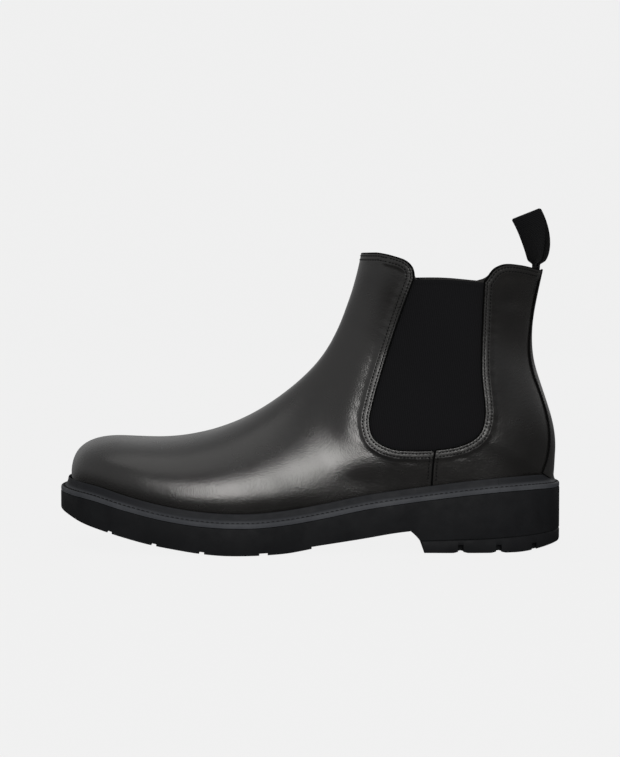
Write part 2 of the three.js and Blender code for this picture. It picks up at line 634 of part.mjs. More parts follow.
/** A ring of points in its own plane, as 2-D points. */
function flatten(ring) {
  const points = ring.map((p) => new THREE.Vector3(...p));
  const origin = points[0];
  const across = points[Math.floor(ring.length / 2)].clone().sub(origin).normalize();
  const normal = new THREE.Vector3();
  points.forEach((p, i) => {
    const next = points[(i + 1) % points.length];
    normal.add(p.clone().sub(origin).cross(next.clone().sub(origin)));
  });
  const upward = normal.normalize().cross(across);
  return points.map((p) => {
    const arm = p.clone().sub(origin);
    return new THREE.Vector2(arm.dot(across), arm.dot(upward));
  });
}

/** The geometry with its faces pointing out. */
function outwards(geometry) {
  const p = geometry.attributes.position;
  const index = geometry.index.array;
  const corner = (k) => new THREE.Vector3().fromBufferAttribute(p, index[k]);
  let volume = 0;
  for (let i = 0; i < index.length; i += 3) {
    volume += corner(i).dot(corner(i + 1).cross(corner(i + 2)));
  }
  if (volume > 0) return geometry;
  const turned = [];
  for (let i = 0; i < index.length; i += 3) turned.push(index[i], index[i + 2], index[i + 1]);
  geometry.setIndex(turned);
  return geometry;
}

function bottomPieces() {
  const overBase = (height) => (x) => baseHeight(x) + height;
  const overSole = (height) => (x) => soleTop(x) + height;
  const ring = weltRing();
  const ringTop = 60;
  const insideLining = (x) => featherInset(x) + LINING[1] + 1.8;
  const corkInset = (x) => featherInset(x) + CORK_FILLER.inset;
  return {
    sole_unit: soleUnit(),
    heel_top_lift: heelTopLift(),
    welt: ring.intersect(prism(rectangle(-FAR, RAND_SPLICE - GAP / 2, 0, ringTop))),
    heel_rand: ring.intersect(prism(rectangle(RAND_SPLICE + GAP / 2, FAR, 0, ringTop))),
    midsole: toSolid(board((x) => featherInset(x) + 0.6, overSole(GAP), overSole(BASE_LIFT - 0.5))),
    cork_filler: toSolid(board(corkInset, overBase(0), overBase(CORK_FILLER.top), CORK_FILLER.from,
      CORK_FILLER.to, 18)),
    shank: toSolid(board(() => SHANK.inset, overBase(SHANK.bottom), overBase(SHANK.top), SHANK.from,
      SHANK.to, 12)),
    insole_board: toSolid(board(insideLining, ...INSOLE.map(overBase), ...BOARD_ENDS)),
    footbed: toSolid(board(insideLining, ...FOOTBED.map(overBase), ...BOARD_ENDS)),
  };
}

// ---------------------------------------------------------------- pull tab
/** At share s round the loop: share of its height, height, and distance from its middle plane. */
function tabFrame(s) {
  const around = Math.PI * (s - 0.5);
  const rise = Math.cos(around) ** 0.8;
  const height = mix(TAB_CLEARANCE, TAB_LENGTH, rise);
  const open = TAB_GAP / 2 * Math.sin(Math.PI * rise ** 0.8) ** 1.2;
  const spread = Math.sign(s - 0.5) * (TAB_THICKNESS * 0.6 + open);
  return { rise, height, spread };
}

function pullTab() {
  const steps = 28;
  const [start, more] = TAB_TWIST.map(THREE.MathUtils.degToRad);
  const twist = (rise) => start * smoothStep(0, 0.08, rise) + more * rise;
  const roll = (rise) => THREE.MathUtils.degToRad(TAB_ROLL) * smoothStep(0.3, 1, rise);
  const rings = [];
  for (let k = 0; k <= steps; k += 1) {
    const { rise, height, spread } = tabFrame(k / steps);
    const turn = twist(rise);
    const tilt = roll(rise);
    const level = Math.cos(tilt);
    const wide = new THREE.Vector3(Math.sin(turn) * level, -Math.cos(turn) * level, Math.sin(tilt));
    const thick = new THREE.Vector3(Math.cos(turn), Math.sin(turn), 0);
    const lean = TAB_LEAN * rise ** 2.5;
    const middle = new THREE.Vector3(TAB_PIVOT[0] + lean, 0, TAB_PIVOT[1] + height);
    middle.addScaledVector(thick, spread);
    rings.push({ middle, wide, thick });
  }
  const corners = rings.map(({ middle, wide }, k) => {
    const before = rings[Math.max(0, k - 1)].middle;
    const after = rings[Math.min(steps, k + 1)].middle;
    const along = after.clone().sub(before).normalize();
    const out = wide.clone().cross(along).normalize();
    return [[-1, -1], [1, -1], [1, 1], [-1, 1]].map(([a, b]) => middle.clone()
      .addScaledVector(wide, a * TAB_WIDTH / 2).addScaledVector(out, b * TAB_THICKNESS / 2).toArray());
  });
  return toSolid(closedSweep(corners));
}

// ---------------------------------------------------------------- assembly
const RUBBER = { color: 0x1b1c1f, roughness: 0.85, metalness: 0 };
const WELT = { color: 0x2c2e33, roughness: 0.7, metalness: 0 };
const BLACK_LEATHER = { color: 0x151516, roughness: 0.38, metalness: 0 };
const ELASTIC = { color: 0x141415, roughness: 0.95, metalness: 0 };
const LINING_LEATHER = { color: 0x2a2725, roughness: 0.8, metalness: 0 };
const BOARD = { color: 0x6b5a45, roughness: 0.9, metalness: 0 };
const CORK = { color: 0x8a6a48, roughness: 0.95, metalness: 0 };
const STEEL = { color: 0x8c8f93, roughness: 0.4, metalness: 1 };
const WEBBING = { color: 0x121213, roughness: 0.9, metalness: 0 };

const FINISH = {
  sole_unit: RUBBER, heel_top_lift: RUBBER, welt: WELT, heel_rand: WELT, midsole: BOARD,
  cork_filler: CORK, shank: STEEL, insole_board: BOARD, footbed: LINING_LEATHER,
  vamp: BLACK_LEATHER, quarter_lateral: BLACK_LEATHER, quarter_medial: BLACK_LEATHER,
  gore_lateral: ELASTIC, gore_medial: ELASTIC, toe_puff: BOARD, heel_counter: BOARD,
  vamp_lining: LINING_LEATHER, quarter_lining: LINING_LEATHER, backstrap: BLACK_LEATHER,
  pull_tab_root: WEBBING, pull_tab: WEBBING,
};

const boot = new THREE.Group();
const pieces = { ...upperPieces(), ...bottomPieces(), pull_tab: pullTab() };
for (const [name, solid] of Object.entries(pieces)) {
  const mesh = new THREE.Mesh(toGeometry(solid), new THREE.MeshStandardMaterial(FINISH[name]));
  mesh.name = name;
  boot.add(mesh);
}

export default boot;
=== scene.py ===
"""Chelsea boot: the visual model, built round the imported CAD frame.

The boot points along X with its toe at -X, and its outer side faces -Y.  Shapes are worked
out in millimetres and turned into metres when a mesh is made.
"""
import math

import bmesh
import bpy
import numpy as np
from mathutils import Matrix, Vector
from mathutils.bvhtree import BVHTree


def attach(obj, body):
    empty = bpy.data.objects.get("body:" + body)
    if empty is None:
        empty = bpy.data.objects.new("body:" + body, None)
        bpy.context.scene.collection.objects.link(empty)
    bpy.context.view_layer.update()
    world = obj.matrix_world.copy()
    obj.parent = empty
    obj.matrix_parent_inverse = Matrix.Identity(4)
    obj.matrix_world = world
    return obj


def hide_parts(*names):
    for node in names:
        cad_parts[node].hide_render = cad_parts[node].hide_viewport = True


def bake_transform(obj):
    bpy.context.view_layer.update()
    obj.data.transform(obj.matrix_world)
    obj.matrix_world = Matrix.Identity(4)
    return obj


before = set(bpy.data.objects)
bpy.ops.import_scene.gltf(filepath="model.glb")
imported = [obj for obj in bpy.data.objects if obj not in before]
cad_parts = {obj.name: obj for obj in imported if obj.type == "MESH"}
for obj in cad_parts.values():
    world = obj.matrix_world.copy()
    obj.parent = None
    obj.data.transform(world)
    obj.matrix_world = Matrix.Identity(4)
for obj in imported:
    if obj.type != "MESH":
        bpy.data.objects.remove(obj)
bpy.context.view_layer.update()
MM = 0.001

# ------------------------------------------------------------------ driving dimensions (mm)
# Outline of the sole from above: x, half width on the outer side, on the inner side.
SOLE_PLAN = [
    (-152.5, -4, 4), (-150.5, 10.5, 18.5), (-145, 22, 29), (-136, 33, 38), (-122, 43, 46.5),
    (-104, 49.5, 51.5), (-82, 53, 53.9), (-60, 54, 52.8), (-38, 52.8, 49), (-16, 49.5, 44.5),
    (8, 45.2, 40), (34, 41.2, 36.4), (60, 39.8, 35.8), (86, 40.2, 37), (110, 39.2, 37.2),
    (128, 34.5, 33.8), (141, 25, 25), (149, 13.5, 13.5), (152.5, 0, 0),
]
SOLE_TOP = [
    (-152.5, 33.9), (-146, 33.2), (-130, 31.2), (-110.6, 26.4), (-88.6, 21.3), (-66.8, 17.8),
    (-45, 16.2), (-30, 16.3), (-12, 18), (8, 21.2), (33, 26), (60, 30), (82, 32.9),
    (100, 35), (115, 36.3), (136, 37), (152.5, 36.2),
]
TREAD = [
    (-152.5, 23.5), (-147, 21.3), (-137.7, 17.6), (-122.4, 13.4), (-110, 10.2), (-95.3, 6.7),
    (-80, 3.9), (-66.8, 1.8), (-52, 0.3), (-40, 0), (-28, 0.2), (-12.4, 1.2), (1, 3.4),
]
WAIST = [(1, 4.6), (33, 9), (52, 12.1), (61, 13.2)]
TREAD_END = 1.0
BREAST_TOP = 59.8
BREAST_FOOT = 68.0
BREAST_HEIGHT = 13.2
TOP_LIFT = [(68, 7.4), (105, 8.6), (152.5, 11)]
HEEL_RISE = (122, 160.5, 3.75)     # the heel's underside curves up: from, full from, height
HEEL_CORNER = (148.6, 1.1)    # where its last corner starts to rise, and how steeply
TREAD_GROOVES = [(-119, 3.0), (-92.2, 3.0), (-63.9, 3.0), (-27.4, 5.0)]
TREAD_GROOVE_DEPTH = 1.2
HEEL_GROOVES = [89.7, 112.5, 134.5]
HEEL_GROOVE_WIDTH = 3.3
POCKET_TOP = 4.6         # height that the deep ends of the heel's grooves reach
POCKET_SHARE = 0.05      # share of the heel's width that a deep end takes
GROOVE_MOUTH = (1.1, 4.2)     # height and half width of the shallow notch all the way across
RAND_SPLICE = 113.0
SPLICE_GAP = 0.26
ROUND_END = 12           # length of the sole's round ends, where its stations are closer together
STEP_LENGTH = 0.06       # how long a sharp step along the sole is

BASE_LIFT = 3.2          # the upper's bottom edge above the sole's top
FEATHER_TOE = 7.8        # the upper's bottom edge inside the sole's edge
FEATHER_HEEL = 6.2
FEATHER_RUN = (-20, 120)      # x where the first starts to turn into the second, and where it has
BULGE = 2.2              # how far the upper swells out over its bottom edge
BULGE_HEIGHT = 14        # height of a section from which it swells fully
SHAFT_ROWS = (8, 13)     # sections between which the foot's widths turn into the shaft's
LEATHER = 1.5
# Depths are measured inwards from the leather's face: outer skin, inner skin.
GORE_DEPTH = (1.55, 2.5)
GORE_HEM = 6.5                  # how far the elastic reaches in behind the leather
GORE_ROWS = (6, 25.5)           # sections that the elastic lies between
GORE_SLACK = (3, 14, 0.35)      # it stands up away from its stitches: from, full from, height
GORE_BORDER = (2.4, 0.3)        # folded border along its top: width, height
QUARTER_NAMES = {-1: "quarter_lateral", 1: "quarter_medial"}
LINING_DEPTH = (2.55, 3.5)
STRAP_THICK = 1.3
STRAP_PARED = (3.0, 0.4)        # its edges are thinner: over this width, by this much

# Cross sections of the upper, each in a plane from a ridge point to a foot point: ridge x z,
# foot x z, half widths outer inner, share of the height at the widest, fullness above, below, y.
SECTIONS = [
    (-144.7, 36.2, -144.7, None, 0, 0, .33, -.10, 0, 6.5),
    (-146.4, 47.5, -141.5, None, 17, 17, .33, -.10, 0, 6.2),
    (-143, 58.7, -136, None, 25, 25, .33, -.10, 0, 5.8),
    (-132.5, 65, -127, None, 32, 32, .32, -.10, 0, 5.2),
    (-119, 66.7, -114, None, 39, 39, .27, -.09, 0, 4.5),
    (-103, 65.7, -97, None, 43, 43, .24, -.07, 0, 3.8),
    (-84, 65.5, -77, None, 46, 46, .21, -.04, 0, 3),
    (-64, 68.8, -54, None, 47, 46, .20, 0, 0, 2.2),
    (-44, 75.4, -28, None, 45, 43, .20, .06, 0, 1.4),
    (-26.6, 84.9, 2, None, 41, 39, .22, .13, 0, .8),
    (-12.4, 95.3, 36, None, 38, 36, .26, .19, 0, .4),
    (-1.2, 105.2, 70, None, 36.5, 35, .3, .23, 0, .2),
    (7, 114.6, 100, None, 36, 35, .34, .25, -.05, 0),
    (12.4, 123, 124, None, 35.5, 34.5, .36, .25, -.10, 0),
    (16.2, 130.5, 138.5, 39.8, 35, 34, .34, .23, -.12, 0),
    (19.2, 137.3, 145.8, 42.5, 34.5, 33.5, .33, .20, -.12, 0),
    (21.6, 143.8, 148.4, 53, 34, 33, .34, .17, -.10, 0),
    (23.8, 150, 148.6, 66, 33.5, 32.5, .36, .14, -.08, 0),
    (25.8, 156, 145.8, 80, 33, 32, .40, .12, -.04, 0),
    (27.4, 161.7, 140.2, 96, 32.5, 32, .44, .10, 0, 0),
    (28.8, 167.2, 134.9, 111, 32.3, 32, .48, .08, .04, 0),
    (30, 172.5, 133.6, 125.5, 32.3, 32, .5, .06, .05, 0),
    (31, 178, 134.6, 139, 32.5, 32.3, .5, .05, .05, 0),
    (31.8, 184, 137, 152, 32.8, 32.8, .5, .05, .05, 0),
    (32.6, 190.5, 139.9, 165, 33, 33, .5, .05, .05, 0),
    (33.4, 197.5, 142.8, 178, 33, 33, .5, .05, .05, 0),
]
LAST = len(SECTIONS) - 1

# Outlines of the pieces seen from the side: x, z.
COLLAR_FRONT = [(41, 178.3), (49, 176.6), (57, 173.6), (60.8, 169.5), (61.8, 163)]
GORE_EDGE = [
    (61.8, 163), (53.3, 139), (46, 116.5), (38.2, 90.7), (35.6, 77), (38.6, 67.6), (49, 62),
    (61, 61), (72, 61.2), (90, 64), (100.3, 70), (103.9, 80), (102.1, 108), (102.9, 140),
    (103.8, 161),
]
GORE_TOP = [(103.8, 160.6), (83, 162.4), (61.8, 162.6)]
GORE_HIDDEN_TOP = 159.0  # the elastic's hidden edge ends below this
GORE_CORNERS = [(3, 162.6), (-1, 160.2)]    # corners over its two ends: step along x, z
COLLAR_BACKS = {
    -1: [(103.8, 161), (106.5, 164.6), (110, 168.8), (116.4, 171.4), (128, 170.6), (142, 167.2)],
    1: [(103.8, 160.6), (108.6, 162), (112.6, 165), (118, 168.6), (128, 169.6), (142, 167.2)],
}
SIDE_SEAM = [(74.4, 61.3), (73.2, 51.3), (72.2, 30)]
STRAP_EDGE = [
    (140, 168.6), (138.6, 164), (135, 148), (133, 134), (131.9, 119), (134.2, 105), (137.2, 97),
    (142, 82), (144, 68), (142.8, 56), (140, 48), (136.8, 42), (134, 36),
]
FAR = 175.0              # outlines are closed out here, beyond the boot's ends
BELOW = 5.0              # and down here, below the upper
LINING_SPLIT = 66.0      # the lining's side seam
CELL = 1.25              # size of the upper's mesh cells
LINE_STEP = 1.0          # distance between the points of outlines
COLLAR_ROWS = (19.0, 25.0)    # sections that the collar's front lies between
COLLAR_TURN = 47.0       # behind this the collar's stitches are laid on from the side

# Surface of the leather and its stitches.
STITCH_ROWS = (1.9, 4.3)        # rows of stitches along the elastic and the collar, from the edge
SEAM_ROW = 2.4                  # rows of stitches on both sides of the side seam
STRAP_ROW = 1.6                 # row beside the back strap
STITCH_PITCH = 2.1
# Soft hollows and creases of worn-in leather: x, z, reach along x, reach along z, depth.
HOLLOWS = [
    (122, 151, 9, 6.5, 1.25), (118, 92, 7, 26, 0.5), (32, 42, 18, 8, 0.8), (-35, 25, 55, 7, 0.5),
    (70, 44, 40, 9, 0.5), (12, 78, 12, 18, 0.3),
]
SEWN_BAND = (5.0, 6.9, 0.55)    # the sewn edge stands up: fully to here, not from here, height
COLLAR_PART = (44, 150)         # no sewn edge stands up at the shaft's front: x up to, z from
SWELL = (14, 7.5, 1.0)          # leather swells before the elastic: distance, half width, height
SWELL_RISE = (58, 84)           # z where that swelling starts, and where it is full
SWELL_END = 60                  # x behind which there is none
COLLAR_FOLD = (3, 6)            # folded double: fully up to this distance, not at all from this one
COLLAR_LEVEL = 42               # the collar's front edge is level up to this x

# Walls from the bottom up: inset, share of the height, offset.
SOLE_WALL = [
    (0.5, 0, 0), (0.15, 0, 0.12), (0, 0, 0.5), (0, 0.5, 0), (0, 1, -0.9), (0.25, 1, -0.2), (0.9, 1, 0),
]
LIFT_WALL = [
    (0.9, 0, 0), (0.3, 0, 0.25), (0, 0, 0.9), (0, 0.5, 0), (0, 1, -1.0), (0.3, 1, -0.4), (0.9, 1, 0),
]

# Cross section of the welt: share of the width from the sole's edge to the upper, height.
WELT_PROFILE = [
    (0.02, 0.2), (0.012, 1.2), (0.018, 2.1), (0.045, 2.6), (0.09, 2.9), (0.14, 2.95), (0.185, 2.8),
    (0.215, 2.35), (0.25, 2.1), (0.29, 2.3), (0.32, 2.9), (0.36, 3.4), (0.42, 3.9), (0.48, 4.5),
    (0.53, 5.3), (0.56, 6.2), (0.58, 7.2), (0.605, 7.9), (0.645, 8.2), (0.67, 7.8), (0.72, 6.2),
    (0.78, 3.6), (0.84, 1.6), (0.88, 0.2),
]
WELT_STITCH = (0.24, 2.75)      # where its stitches lie, in the same terms

# Footbed.
FOOTBED_ENDS = (-131, 134)
FOOTBED_INSET = 5.3
FOOTBED_HEIGHT = (7.2, 9.7)      # over the upper's bottom edge
FOOTBED_DISH = 0.35
FOOTBED_EDGE = (0.9, 1.1)        # rounding of its edge: drop, reach

# Pull tab.
TAB_WIDTH = 19.0
TAB_THICK = 1.5
TAB_PIVOT = (138.2, 170.4)
TAB_LENGTH = 30.9
TAB_FOOT = 0.9           # its legs leave the collar this far over the pivot
TAB_GAP = 3.0            # between its legs
TAB_LEAN = -6.8          # how far its top leans towards the toe
TAB_PRESSED = (168.0, 178.0)    # pressed flat against the seam up to here, free from here
TAB_THINNED = 0.3        # share of its thickness that it loses where it is pressed
TAB_HUG = 62.0           # twice the radius that it bends to round the seam
TAB_TWIST = (16.0, 54.0)      # degrees it turns just over the collar, and from there to its top
TAB_ROLL = 21.0          # degrees that its top is tilted sideways
# Its sewn ends: z, depth under the seam, half the distance between the two layers.
TAB_ROOT = [(167.5, 2.2, 0.75), (161.0, 1.9, 0.6), (153.5, 1.9, 0.55)]


# ------------------------------------------------------------------ curves
def curve_through(points):
    """A smooth height curve y(x) through points with rising x."""
    x, y = np.array(points, float).T
    width = np.diff(x)
    slope = np.diff(y) / width
    tangent = np.concatenate([slope[:1], np.zeros(len(x) - 2), slope[-1:]])
    tangent[1:-1] = (slope[:-1] * width[1:] + slope[1:] * width[:-1]) / (width[:-1] + width[1:])

    def evaluate(at):
        at = np.clip(np.asarray(at, float), x[0], x[-1])
        i = np.clip(np.searchsorted(x, at, side="right") - 1, 0, len(x) - 2)
        t = (at - x[i]) / width[i]
        rise = (2 * t**3 - 3 * t**2 + 1) * y[i] + (3 * t**2 - 2 * t**3) * y[i + 1]
        bend = (t**3 - 2 * t**2 + t) * tangent[i] + (t**3 - t**2) * tangent[i + 1]
        return rise + width[i] * bend

    return evaluate


def unit(vectors):
    """The same vectors with length 1."""
    return vectors / np.maximum(np.linalg.norm(vectors, axis=-1), 1e-9)[..., None]


def run_length(line):
    """How far along a line each of its points is."""
    return np.concatenate([[0], np.cumsum(np.linalg.norm(np.diff(line, axis=0), axis=1))])


def rows_at(places, run, rows):
    """Rows of numbers read off between others, at places along a run."""
    return np.stack([np.interp(places, run, column) for column in rows.T], 1)


def spline_rows(table, u):
    """A uniform cubic B-spline through the rows of a table, with straight ends."""
    padded = np.vstack([2 * table[0] - table[1], table, 2 * table[-1] - table[-2], table[-1]])
    i = np.clip(np.floor(u).astype(int), 0, len(table) - 2)
    t = (u - i)[..., None]
    a, b, c, d = (padded[i + k] for k in range(4))
    return ((1 - t) ** 3 * a + (3 * t**3 - 6 * t**2 + 4) * b
            + (-3 * t**3 + 3 * t**2 + 3 * t + 1) * c + t**3 * d) / 6


def closed_catmull(points, steps):
    """A smooth closed loop through points, with a number of steps from each to the next."""
    p1 = np.array(points, float)[:, None, :]
    p0, p2, p3 = (np.roll(p1, k, 0) for k in (1, -1, -2))
    t = (np.arange(steps) / steps)[None, :, None]
    loop = 0.5 * (2 * p1 + (p2 - p0) * t + (2 * p0 - 5 * p1 + 4 * p2 - p3) * t**2
                  + (3 * p1 - p0 - 3 * p2 + p3) * t**3)
    return loop.reshape(-1, p1.shape[-1])


def between(t, start, end, a, b):
    """The value at t on the straight way from a at start to b at end."""
    return (end - t) / (end - start) * a + (t - start) / (end - start) * b


def smooth_line(points):
    """A smooth open line through points (centripetal Catmull-Rom), cut into even steps."""
    p = np.array(points, float)
    p = np.vstack([2 * p[0] - p[1], p, 2 * p[-1] - p[-2]])
    line = []
    for k in range(1, len(p) - 2):
        four = p[k - 1:k + 3]
        gaps = np.linalg.norm(np.diff(four, axis=0), axis=1) ** 0.5
        k0, k1, k2, k3 = np.concatenate([[0], np.cumsum(gaps)])
        t = np.linspace(k1, k2, 24, endpoint=False)[:, None]
        first = between(t, k0, k1, *four[:2])
        middle = between(t, k1, k2, *four[1:3])
        last = between(t, k2, k3, *four[2:])
        left = between(t, k0, k2, first, middle)
        right = between(t, k1, k3, middle, last)
        line.append(between(t, k1, k2, left, right))
    return even_steps(np.vstack([*line, p[-2:-1]]), LINE_STEP)


def even_steps(line, step):
    """The same line with its points an even step apart."""
    run = run_length(line)
    count = max(2, int(round(run[-1] / step)) + 1)
    return rows_at(np.linspace(0, run[-1], count), run, line)


def shift_line(line, distance):
    """A 2-D line moved to its left by a distance."""
    direction = unit(np.gradient(line, axis=0))
    return line + distance * np.stack([-direction[:, 1], direction[:, 0]], 1)


def smooth_step(low, high, x):
    t = np.clip((x - low) / (high - low), 0, 1)
    return t * t * (3 - 2 * t)


def line_distance(points, line, with_run=False):
    """Distance from 2-D points to a line of short segments, and how far along it that is."""
    best, run, passed = np.full(len(points), 1e9), np.zeros(len(points)), 0.0
    for a, b in zip(line[:-1], line[1:]):
        ab = b - a
        length = np.sqrt(ab @ ab)
        t = np.clip(((points - a) @ ab) / max(length**2, 1e-12), 0, 1)
        distance = np.linalg.norm(points - a - t[:, None] * ab, axis=1)
        run = np.where(distance < best, passed + t * length, run)
        best = np.minimum(best, distance)
        passed += length
    return (best, run) if with_run else best


def inside_outline(points, outline):
    """Distance to a closed outline, positive inside."""
    loop = np.vstack([outline, outline[:1]])
    x, z = points.T
    crossings = np.zeros(len(points), int)
    for (ax, az), (bx, bz) in zip(loop[:-1], loop[1:]):
        spans = (az > z) != (bz > z)
        if az != bz:
            crossings += spans & (x < ax + (z - az) / (bz - az) * (bx - ax))
    return line_distance(points, loop) * np.where(crossings % 2, 1, -1)


# ------------------------------------------------------------------ sole outline
sole_top = curve_through(SOLE_TOP)
PLAN_STEPS = 16
plan_loop = closed_catmull(
    [(x, -outer) for x, outer, _ in SOLE_PLAN] + [(x, inner) for x, _, inner in SOLE_PLAN[-2:0:-1]],
    PLAN_STEPS)


def feather_inset(x):
    """How far the upper's bottom edge lies inside the sole's edge."""
    start, end = FEATHER_RUN
    return FEATHER_TOE + (FEATHER_HEEL - FEATHER_TOE) * np.clip((x - start) / (end - start), 0, 1)


def inset_loop(inset, loop=plan_loop):
    """The loop moved inwards, by a distance for all or for each point."""
    along = unit(np.roll(loop, -1, 0) - np.roll(loop, 1, 0))
    inward = np.stack([-along[:, 1], along[:, 0]], 1)
    return loop + inward * np.broadcast_to(inset, len(loop))[:, None]


def two_sides(loop):
    """A closed loop as its outer and inner side, each from toe to heel."""
    toe, heel, n = np.argmin(loop[:, 0]), np.argmax(loop[:, 0]), len(loop)
    outer = loop[(toe + np.arange((heel - toe) % n + 1)) % n]
    inner = loop[(toe - np.arange((toe - heel) % n + 1)) % n]
    return outer, inner


feather_outer, feather_inner = two_sides(inset_loop(feather_inset(plan_loop[:, 0])))
HEEL_X = feather_outer[-1, 0]


# ------------------------------------------------------------------ surface of the upper
def base_height(x):
    return sole_top(x) + BASE_LIFT


def section_table():
    rows = [[base_height(r[2]) if v is None else v for v in r] for r in SECTIONS]
    toe_x, toe_y = feather_outer[0]
    rows[0][:4] = [toe_x, base_height(toe_x)] * 2
    rows[0][9] = toe_y
    return np.array(rows, float)


TABLE = section_table()


def find_heel_row():
    """Where along the sections the foot point reaches the back of the heel."""
    u = np.linspace(13, 16, 3001)
    return u[np.argmax(spline_rows(TABLE, u)[:, 2] >= HEEL_X)]


HEEL_ROW = find_heel_row()


def foot_cosine(ratio, fullness):
    """Squared cosine of the angle where a half section of half width 1 narrows to ratio."""
    low, high = np.zeros_like(ratio), np.ones_like(ratio)
    for _ in range(26):
        middle = (low + high) / 2
        wide = np.sqrt(1 - middle) * (1 - fullness * middle) > ratio
        low, high = np.where(wide, middle, low), np.where(wide, high, middle)
    return np.maximum((low + high) / 2, 1e-4)


def surface(u, a):
    """Points of the outer surface: u along the sections, a from -1 (outer edge) to 1 (inner)."""
    columns = np.moveaxis(spline_rows(TABLE, u), -1, 0)
    fx, fz, bx, bz, w_outer, w_inner, rise, full_top, full_bottom, y0 = columns
    on_base = u < HEEL_ROW
    base = base_height(bx)
    bz = np.where(on_base, base, base + (bz - base) * smooth_step(HEEL_ROW, HEEL_ROW + 1, u))
    outer = np.maximum(y0 - np.interp(bx, *feather_outer.T), 0)
    inner = np.maximum(np.interp(bx, *feather_inner.T) - y0, 0)
    feather = np.where(on_base, np.where(a > 0, inner, outer), 0)
    height = np.hypot(fx - bx, fz - bz)
    shaft = smooth_step(*SHAFT_ROWS, u)
    foot_width = feather + BULGE * np.clip(height / BULGE_HEIGHT, 0, 1)
    shaft_width = np.maximum(np.where(a > 0, w_inner, w_outer), feather + 0.3)
    w = np.maximum(foot_width + (shaft_width - foot_width) * shaft, 1e-6)
    widest = rise * height
    c = foot_cosine(np.clip(feather / w, 0, 0.9999), full_bottom)
    lower, upper = widest / np.sqrt(c), height - widest
    upper_length = np.pi / 2 * np.sqrt((w * w + upper * upper) / 2)
    lower_length = np.hypot(widest, w - feather) * (1 + 0.11 * c)
    share = upper_length / (upper_length + lower_length + 1e-9)
    far = np.abs(a)
    last = np.arccos(-np.sqrt(c))
    angle = np.where(far <= share, far / share * np.pi / 2,
                     np.pi / 2 + (far - share) / (1 - share + 1e-9) * (last - np.pi / 2))
    cosine = np.cos(angle)
    above = angle <= np.pi / 2
    y = w * np.sin(angle) * (1 - np.where(above, full_top, full_bottom) * cosine**2)
    h = widest + np.where(above, upper, lower) * cosine
    length = np.maximum(height, 1e-6)
    x, z = bx + (fx - bx) / length * h, bz + (fz - bz) / length * h
    return np.stack([x, y0 + np.where(a > 0, y, -y), z], -1)


def surface_normal(u, a):
    """Outward unit normals of the surface."""
    u_in = np.clip(u, 0.12, LAST - 0.02)
    # Steps stay on one side of the ridge and of the edges.
    side = np.where(a > 0, 1.0, -1.0)
    a_in = side * np.clip(np.abs(a), 0.004, 0.994)
    along = surface(u_in + 0.01, a_in) - surface(u_in - 0.01, a_in)
    across = surface(u_in, a_in + 0.004) - surface(u_in, a_in - 0.004)
    n = np.cross(along, across)
    n[..., 1] = np.where(np.abs(a) < 1e-9, 0, n[..., 1])
    n[..., 1] = np.where((np.abs(a) > 1 - 1e-9) & (u > HEEL_ROW), 0, n[..., 1])
    return unit(n)


# ------------------------------------------------------------------ meshes
class Shape:
    """Points and faces of one mesh, added up piece by piece."""

    def __init__(self):
        self.points, self.faces, self.rims, self.count = [], [], [], 0

    def add(self, points, faces):
        points = np.asarray(points, float).reshape(-1, 3)
        self.points.append(points)
        self.faces.extend(tuple(int(i) + self.count for i in face) for face in faces)
        self.count += len(points)

    def add_grid(self, grid, wrap_rows=False, wrap_columns=False, flip=False):
        """Quads between the rows and columns of a grid of points."""
        self.add(grid, grid_faces(*grid.shape[:2], wrap_rows, wrap_columns, flip))


def grid_faces(rows, columns, wrap_rows=False, wrap_columns=False, flip=False):
    i, j = np.ogrid[:rows - (not wrap_rows), :columns - (not wrap_columns)]
    ni, nj = (i + 1) % rows, (j + 1) % columns
    corners = [i * columns + j, ni * columns + j, ni * columns + nj, i * columns + nj]
    quads = np.stack(corners[::-1] if flip else corners, -1).reshape(-1, 4)
    return quads.tolist()


def in_scene(name, data):
    """A new object with some data, linked to the scene."""
    item = bpy.data.objects.new(name, data)
    bpy.context.scene.collection.objects.link(item)
    return item


def new_mesh(name, shape, materials):
    mesh = bpy.data.meshes.new(name)
    mesh.from_pydata((np.vstack(shape.points) * MM).tolist(), [], shape.faces)
    for material in materials:
        mesh.materials.append(material)
    return mesh


def make_piece(name, shape, materials, nodes=(), body="boot", sharp=40, weld=0.01):
    """A Blender object from a Shape, riding on its body in place of CAD nodes.

    A second material goes on the rims of its sheets."""
    mesh = new_mesh(name, shape, materials)
    if len(materials) > 1:
        for i in shape.rims:
            mesh.polygons[i].material_index = 1
    piece = in_scene(name, mesh)
    if weld:
        welded = bmesh.new()
        welded.from_mesh(mesh)
        bmesh.ops.remove_doubles(welded, verts=welded.verts, dist=weld * MM)
        bmesh.ops.dissolve_degenerate(welded, edges=welded.edges, dist=weld * MM * 0.1)
        bmesh.ops.recalc_face_normals(welded, faces=welded.faces)
        welded.to_mesh(mesh)
        welded.free()
    mesh.shade_smooth()
    mesh.set_sharp_from_angle(angle=math.radians(sharp))
    if body is not None:
        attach(piece, body)
    if nodes:
        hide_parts(*nodes)
    return piece


def store(piece, name, values, kind="FLOAT"):
    """Stores numbers or vectors with a piece's points, for its material to read."""
    attribute = piece.data.attributes.new(name, kind, "POINT")
    key = "value" if kind == "FLOAT" else "vector"
    attribute.data.foreach_set(key, np.ravel(values).astype(np.float32))


def points_of(piece):
    """A finished piece's points, in millimetres."""
    return np.array([v.co for v in piece.data.vertices]) / MM


